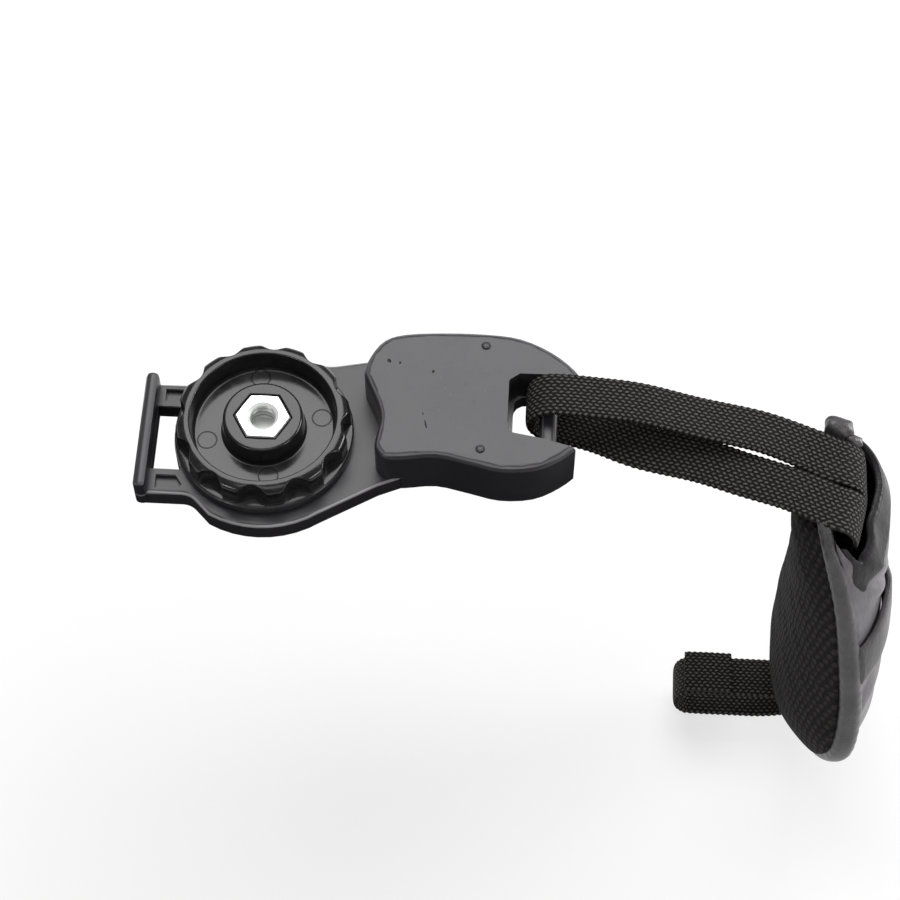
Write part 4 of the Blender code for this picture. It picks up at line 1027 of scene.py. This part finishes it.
def band_lift(u):
    """The band stands proud at the near side, where it is sewn down over the folded cover."""
    return 0.5 + 1.3 * smooth_step(0.05, -0.4, u)


strap_points = band_points(band_top, band_bottom, band_lift, 1.6, 0.985, 0.4)
closed_piece("cross_strap", strap_points, leather, ["cross_band"])

# %% [markdown]
# ## The binding
#
# A strip of leather is folded round the pad's edge, all the way from the near top corner, down the
# near side, across the bottom and up the far side. It is a flattened tube carried along the edge.
# Its two lips lie on the lining and on the sleeve, with a faint puckered seam along each.

# %% The binding
BINDING_THICK = [(0.0, 1.2), (2.0, 1.4), (7.5, 1.5), (15.7, 2.05), (24.0, 2.25), (200.0, 2.3)]
BINDING_REACH = [(0.0, 0.6), (2.0, 1.3), (6.4, 1.8), (15.7, 2.4), (24.0, 2.7), (200.0, 2.75)]
BINDING_SHIFTS = [(0.0, -0.9), (6.0, -0.7), (16.0, 0.0), (150.0, 0.1)]
BINDING_X, BINDING_BOTTOM = 2.3, -84.0


def binding_path():
    """Down the near side, round the bottom and up the far side, as one smooth line. The near end
    turns in under the webbing."""
    v = np.linspace(-0.035, 0.95, 62)
    near = pad_place(smooth_between(EDGE_X, v) + BINDING_X, -1.0, v)
    near[:, 1] += 1.5 * smooth_step(0.07, -0.04, v)
    v = np.linspace(0.04, 0.95, 58)
    far = pad_place(smooth_between(EDGE_X, v) + BINDING_X, 1.0, v)[::-1]
    y = np.linspace(-0.72, 0.72, 9) * pad_half(1.0) + pad_middle(1.0)
    bottom_x = smooth_between(EDGE_X, 1.0) + BINDING_X
    bottom = np.stack(np.broadcast_arrays(bottom_x, y, BINDING_BOTTOM), axis=-1)
    return smooth_path(np.vstack([near, bottom, far])[::2], 0.5)


def binding_points():
    """At each place of the path the section is a squared ellipse: one axis along X, through the
    pad's thickness, the other in the plane of the pad, square to the path."""
    path, places = binding_path()
    ahead = np.gradient(path, axis=0)
    ahead /= np.linalg.norm(ahead, axis=1)[:, None]
    through = np.array([1.0, 0.0, 0.0]) - ahead * ahead[:, :1]
    through /= np.linalg.norm(through, axis=1)[:, None]
    outwards = np.cross(through, ahead)
    turn = np.linspace(0, 2 * np.pi, 56, endpoint=False)[None, :]
    rise, reach = squared(np.cos(turn), 0.8), squared(np.sin(turn), 0.85)
    s = places[:, None]
    pucker = 0.07 * np.sin(s * 2 * np.pi / 3.1 + 1.2 * np.sin(s * 0.37)) * np.abs(np.sin(2 * turn))
    soft = 0.22 * np.sin(s * 0.19 + 0.8) * np.cos(turn + s * 0.05)
    from_end = np.minimum(s, places[-1] - s)
    half_thick = smooth_between(BINDING_THICK, from_end) + pucker + soft * 0.4
    half_reach = smooth_between(BINDING_REACH, from_end) + soft
    shift = half_reach - 1.2
    path[:, 0] += smooth_between(BINDING_SHIFTS, from_end[:, 0])
    return (
        path[:, None, :]
        + through[:, None, :] * (half_thick * rise)[..., None]
        + outwards[:, None, :] * (half_reach * reach + shift)[..., None]
    )


closed_piece("edge_binding", binding_points(), leather, ["near_binding", "far_binding"])

# %% [markdown]
# ## The folded corner
#
# At the far top corner the leather ends are folded over each other into a soft lump: a round lobe
# on top and a smaller flap beside it. Each is a ball whose radius is pushed in and out by slow
# waves of its two angles.

# %% The corner's two lobes
def lobe_points(centre, size, lean, dimple):
    """A ball with its own three half sizes; waves of both angles dent it, and it leans."""
    across = np.linspace(0, 2 * np.pi, 72, endpoint=False)[None, :]
    down = np.linspace(0.001, np.pi - 0.001, 48)[:, None]
    dent = 1 + dimple * np.sin(2 * across + 0.6) * np.sin(3 * down) + 0.06 * np.sin(5 * across - 2 * down)
    x = squared(np.cos(across), 0.8) * np.sin(down) * dent * size[0]
    y = squared(np.sin(across), 0.8) * np.sin(down) * dent * size[1]
    z = squared(np.cos(down), 0.8) * size[2]
    c, s = math.cos(lean), math.sin(lean)
    return np.stack([centre[0] + x * c + z * s, centre[1] + y, centre[2] + z * c - x * s], axis=-1)


lobe = lobe_points((121.1, 9.0, 4.0), (3.3, 2.2, 2.3), 0.35, 0.1)
closed_piece("corner_lobe", lobe, leather, ["corner_fold"], caps=False)
flap = lobe_points((124.4, 6.9, 2.4), (2.1, 1.3, 1.3), 0.5, 0.12)
closed_piece("corner_flap", flap, leather, [], caps=False)

# %% [markdown]
# ## The block's pips
#
# Two small round pips stand on the block's top, over the screws that hold it from below. Each is a
# low dome made as the lobes are, without dents.

# %% The two pips on the block
for number, (x, y) in enumerate(PIPS, 1):
    dome = lobe_points((x, y, BLOCK_TOP), (PIP_R, PIP_R, PIP_HEIGHT), 0.0, 0.0)
    closed_piece(f"block_pip_{number}", dome, block_plastic, [], caps=False)

# %% [markdown]
# ## Light
#
# The strap is photographed in a white tent: one wide soft lamp behind and above, a weaker one over
# the near side, one from the right, and two small low ones in front, which draw the bright lines on
# the near edges. White is all round, except where a dark card keeps the floor out of the reflections
# on the mouldings' sides. The lamps stay at a plain level, so that colours render about as they are
# written.

# %% The floor, the world and the lamps
FLOOR_GAP, FLOOR_HALF = 0.004, 3.0
FLOOR_GLOW, GLOW_SHARE = 1.06, 0.6
CARD_LEFT, CARD_RIGHT, CARD_NEAR, CARD_FAR, CARD_Z = -0.07, 0.098, -0.14, 0.03, -0.03


def level_sheet(name, left, right, near, far, height):
    """A level rectangle, measured in metres."""
    mesh = bpy.data.meshes.new(name)
    corners = [(left, near, height), (right, near, height), (right, far, height), (left, far, height)]
    mesh.from_pydata(corners, [], [(0, 1, 2, 3)])
    sheet = bpy.data.objects.new(name, mesh)
    bpy.context.scene.collection.objects.link(sheet)
    return sheet


def white_floor():
    """A wide sheet below the lowest piece, nearly white to the camera, shadowed a little."""
    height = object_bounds()[0].z - FLOOR_GAP
    floor = level_sheet("floor", -FLOOR_HALF, FLOOR_HALF, -FLOOR_HALF, FLOOR_HALF, height)
    finish = Finish("white_floor")
    finish.set(Base_Color=(0.95, 0.95, 0.95), Roughness=0.9)
    white = (1.0, 1.0, 1.0, 1.0)
    glow = finish.node("ShaderNodeEmission", None, {"Color": white, "Strength": FLOOR_GLOW})
    is_camera = finish.node("ShaderNodeLightPath", output="Is Camera Ray")
    is_glossy = finish.node("ShaderNodeLightPath", output="Is Glossy Ray")
    is_transmission = finish.node("ShaderNodeLightPath", output="Is Transmission Ray")
    seen = is_camera.at_least(is_glossy).at_least(is_transmission) * GLOW_SHARE
    mixed = finish.node("ShaderNodeMixShader", None, [seen])
    mixer = mixed.socket.node
    finish.tree.links.new(finish.shader.outputs[0], mixer.inputs[1])
    finish.tree.links.new(glow.socket, mixer.inputs[2])
    output = finish.tree.nodes["Material Output"]
    finish.tree.links.new(mixed.socket, output.inputs["Surface"])
    floor.data.materials.append(finish.material)
    floor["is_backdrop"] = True


white_floor()
world = bpy.data.worlds.new("white_tent")
world.use_nodes = True
bpy.context.scene.world = world
backdrop = world.node_tree.nodes["Background"]
backdrop.inputs["Color"].default_value = (1.0, 1.0, 1.0, 1.0)
backdrop.inputs["Strength"].default_value = 0.2


def soft_lamp(name, place, aim, size, watts):
    light = bpy.data.lights.new(name, "AREA")
    light.shape, light.size, light.size_y, light.energy = "RECTANGLE", size[0], size[1], watts
    lamp = bpy.data.objects.new(name, light)
    lamp.location = place
    lamp.rotation_euler = (Vector(aim) - Vector(place)).to_track_quat("-Z", "Y").to_euler()
    bpy.context.scene.collection.objects.link(lamp)


def black_flag():
    """A dark card between the plate and the floor. Neither the camera nor the shadows see it."""
    card = level_sheet("black_flag", CARD_LEFT, CARD_RIGHT, CARD_NEAR, CARD_FAR, CARD_Z)
    card.visible_camera, card.visible_shadow = False, False
    finish = Finish("black_card")
    finish.set(Base_Color=(0.01, 0.01, 0.01), Roughness=0.9, Specular_IOR_Level=0.0)
    card.data.materials.append(finish.material)
    card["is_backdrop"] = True


black_flag()
MIDDLE, SCREW = (0.055, 0.0, -0.02), (0.0, 0.0, 0.0)
# Each lamp is its name, place, aim, size in metres and power in watts.
LAMPS = [
    ("top_lamp", (0.03, 0.50, 0.87), MIDDLE, (0.9, 0.8), 9.3),
    ("front_lamp", (0.0, -0.32, 1.0), MIDDLE, (0.6, 0.4), 1.2),
    ("left_front_lamp", (-0.54, -0.71, 0.45), SCREW, (0.26, 0.10), 1.1),
    ("right_front_lamp", (0.80, -0.45, 0.39), SCREW, (0.26, 0.10), 1.1),
    ("right_lamp", (0.85, 0.22, 0.12), MIDDLE, (0.4, 0.4), 5.0),
]
for lamp in LAMPS:
    soft_lamp(*lamp)
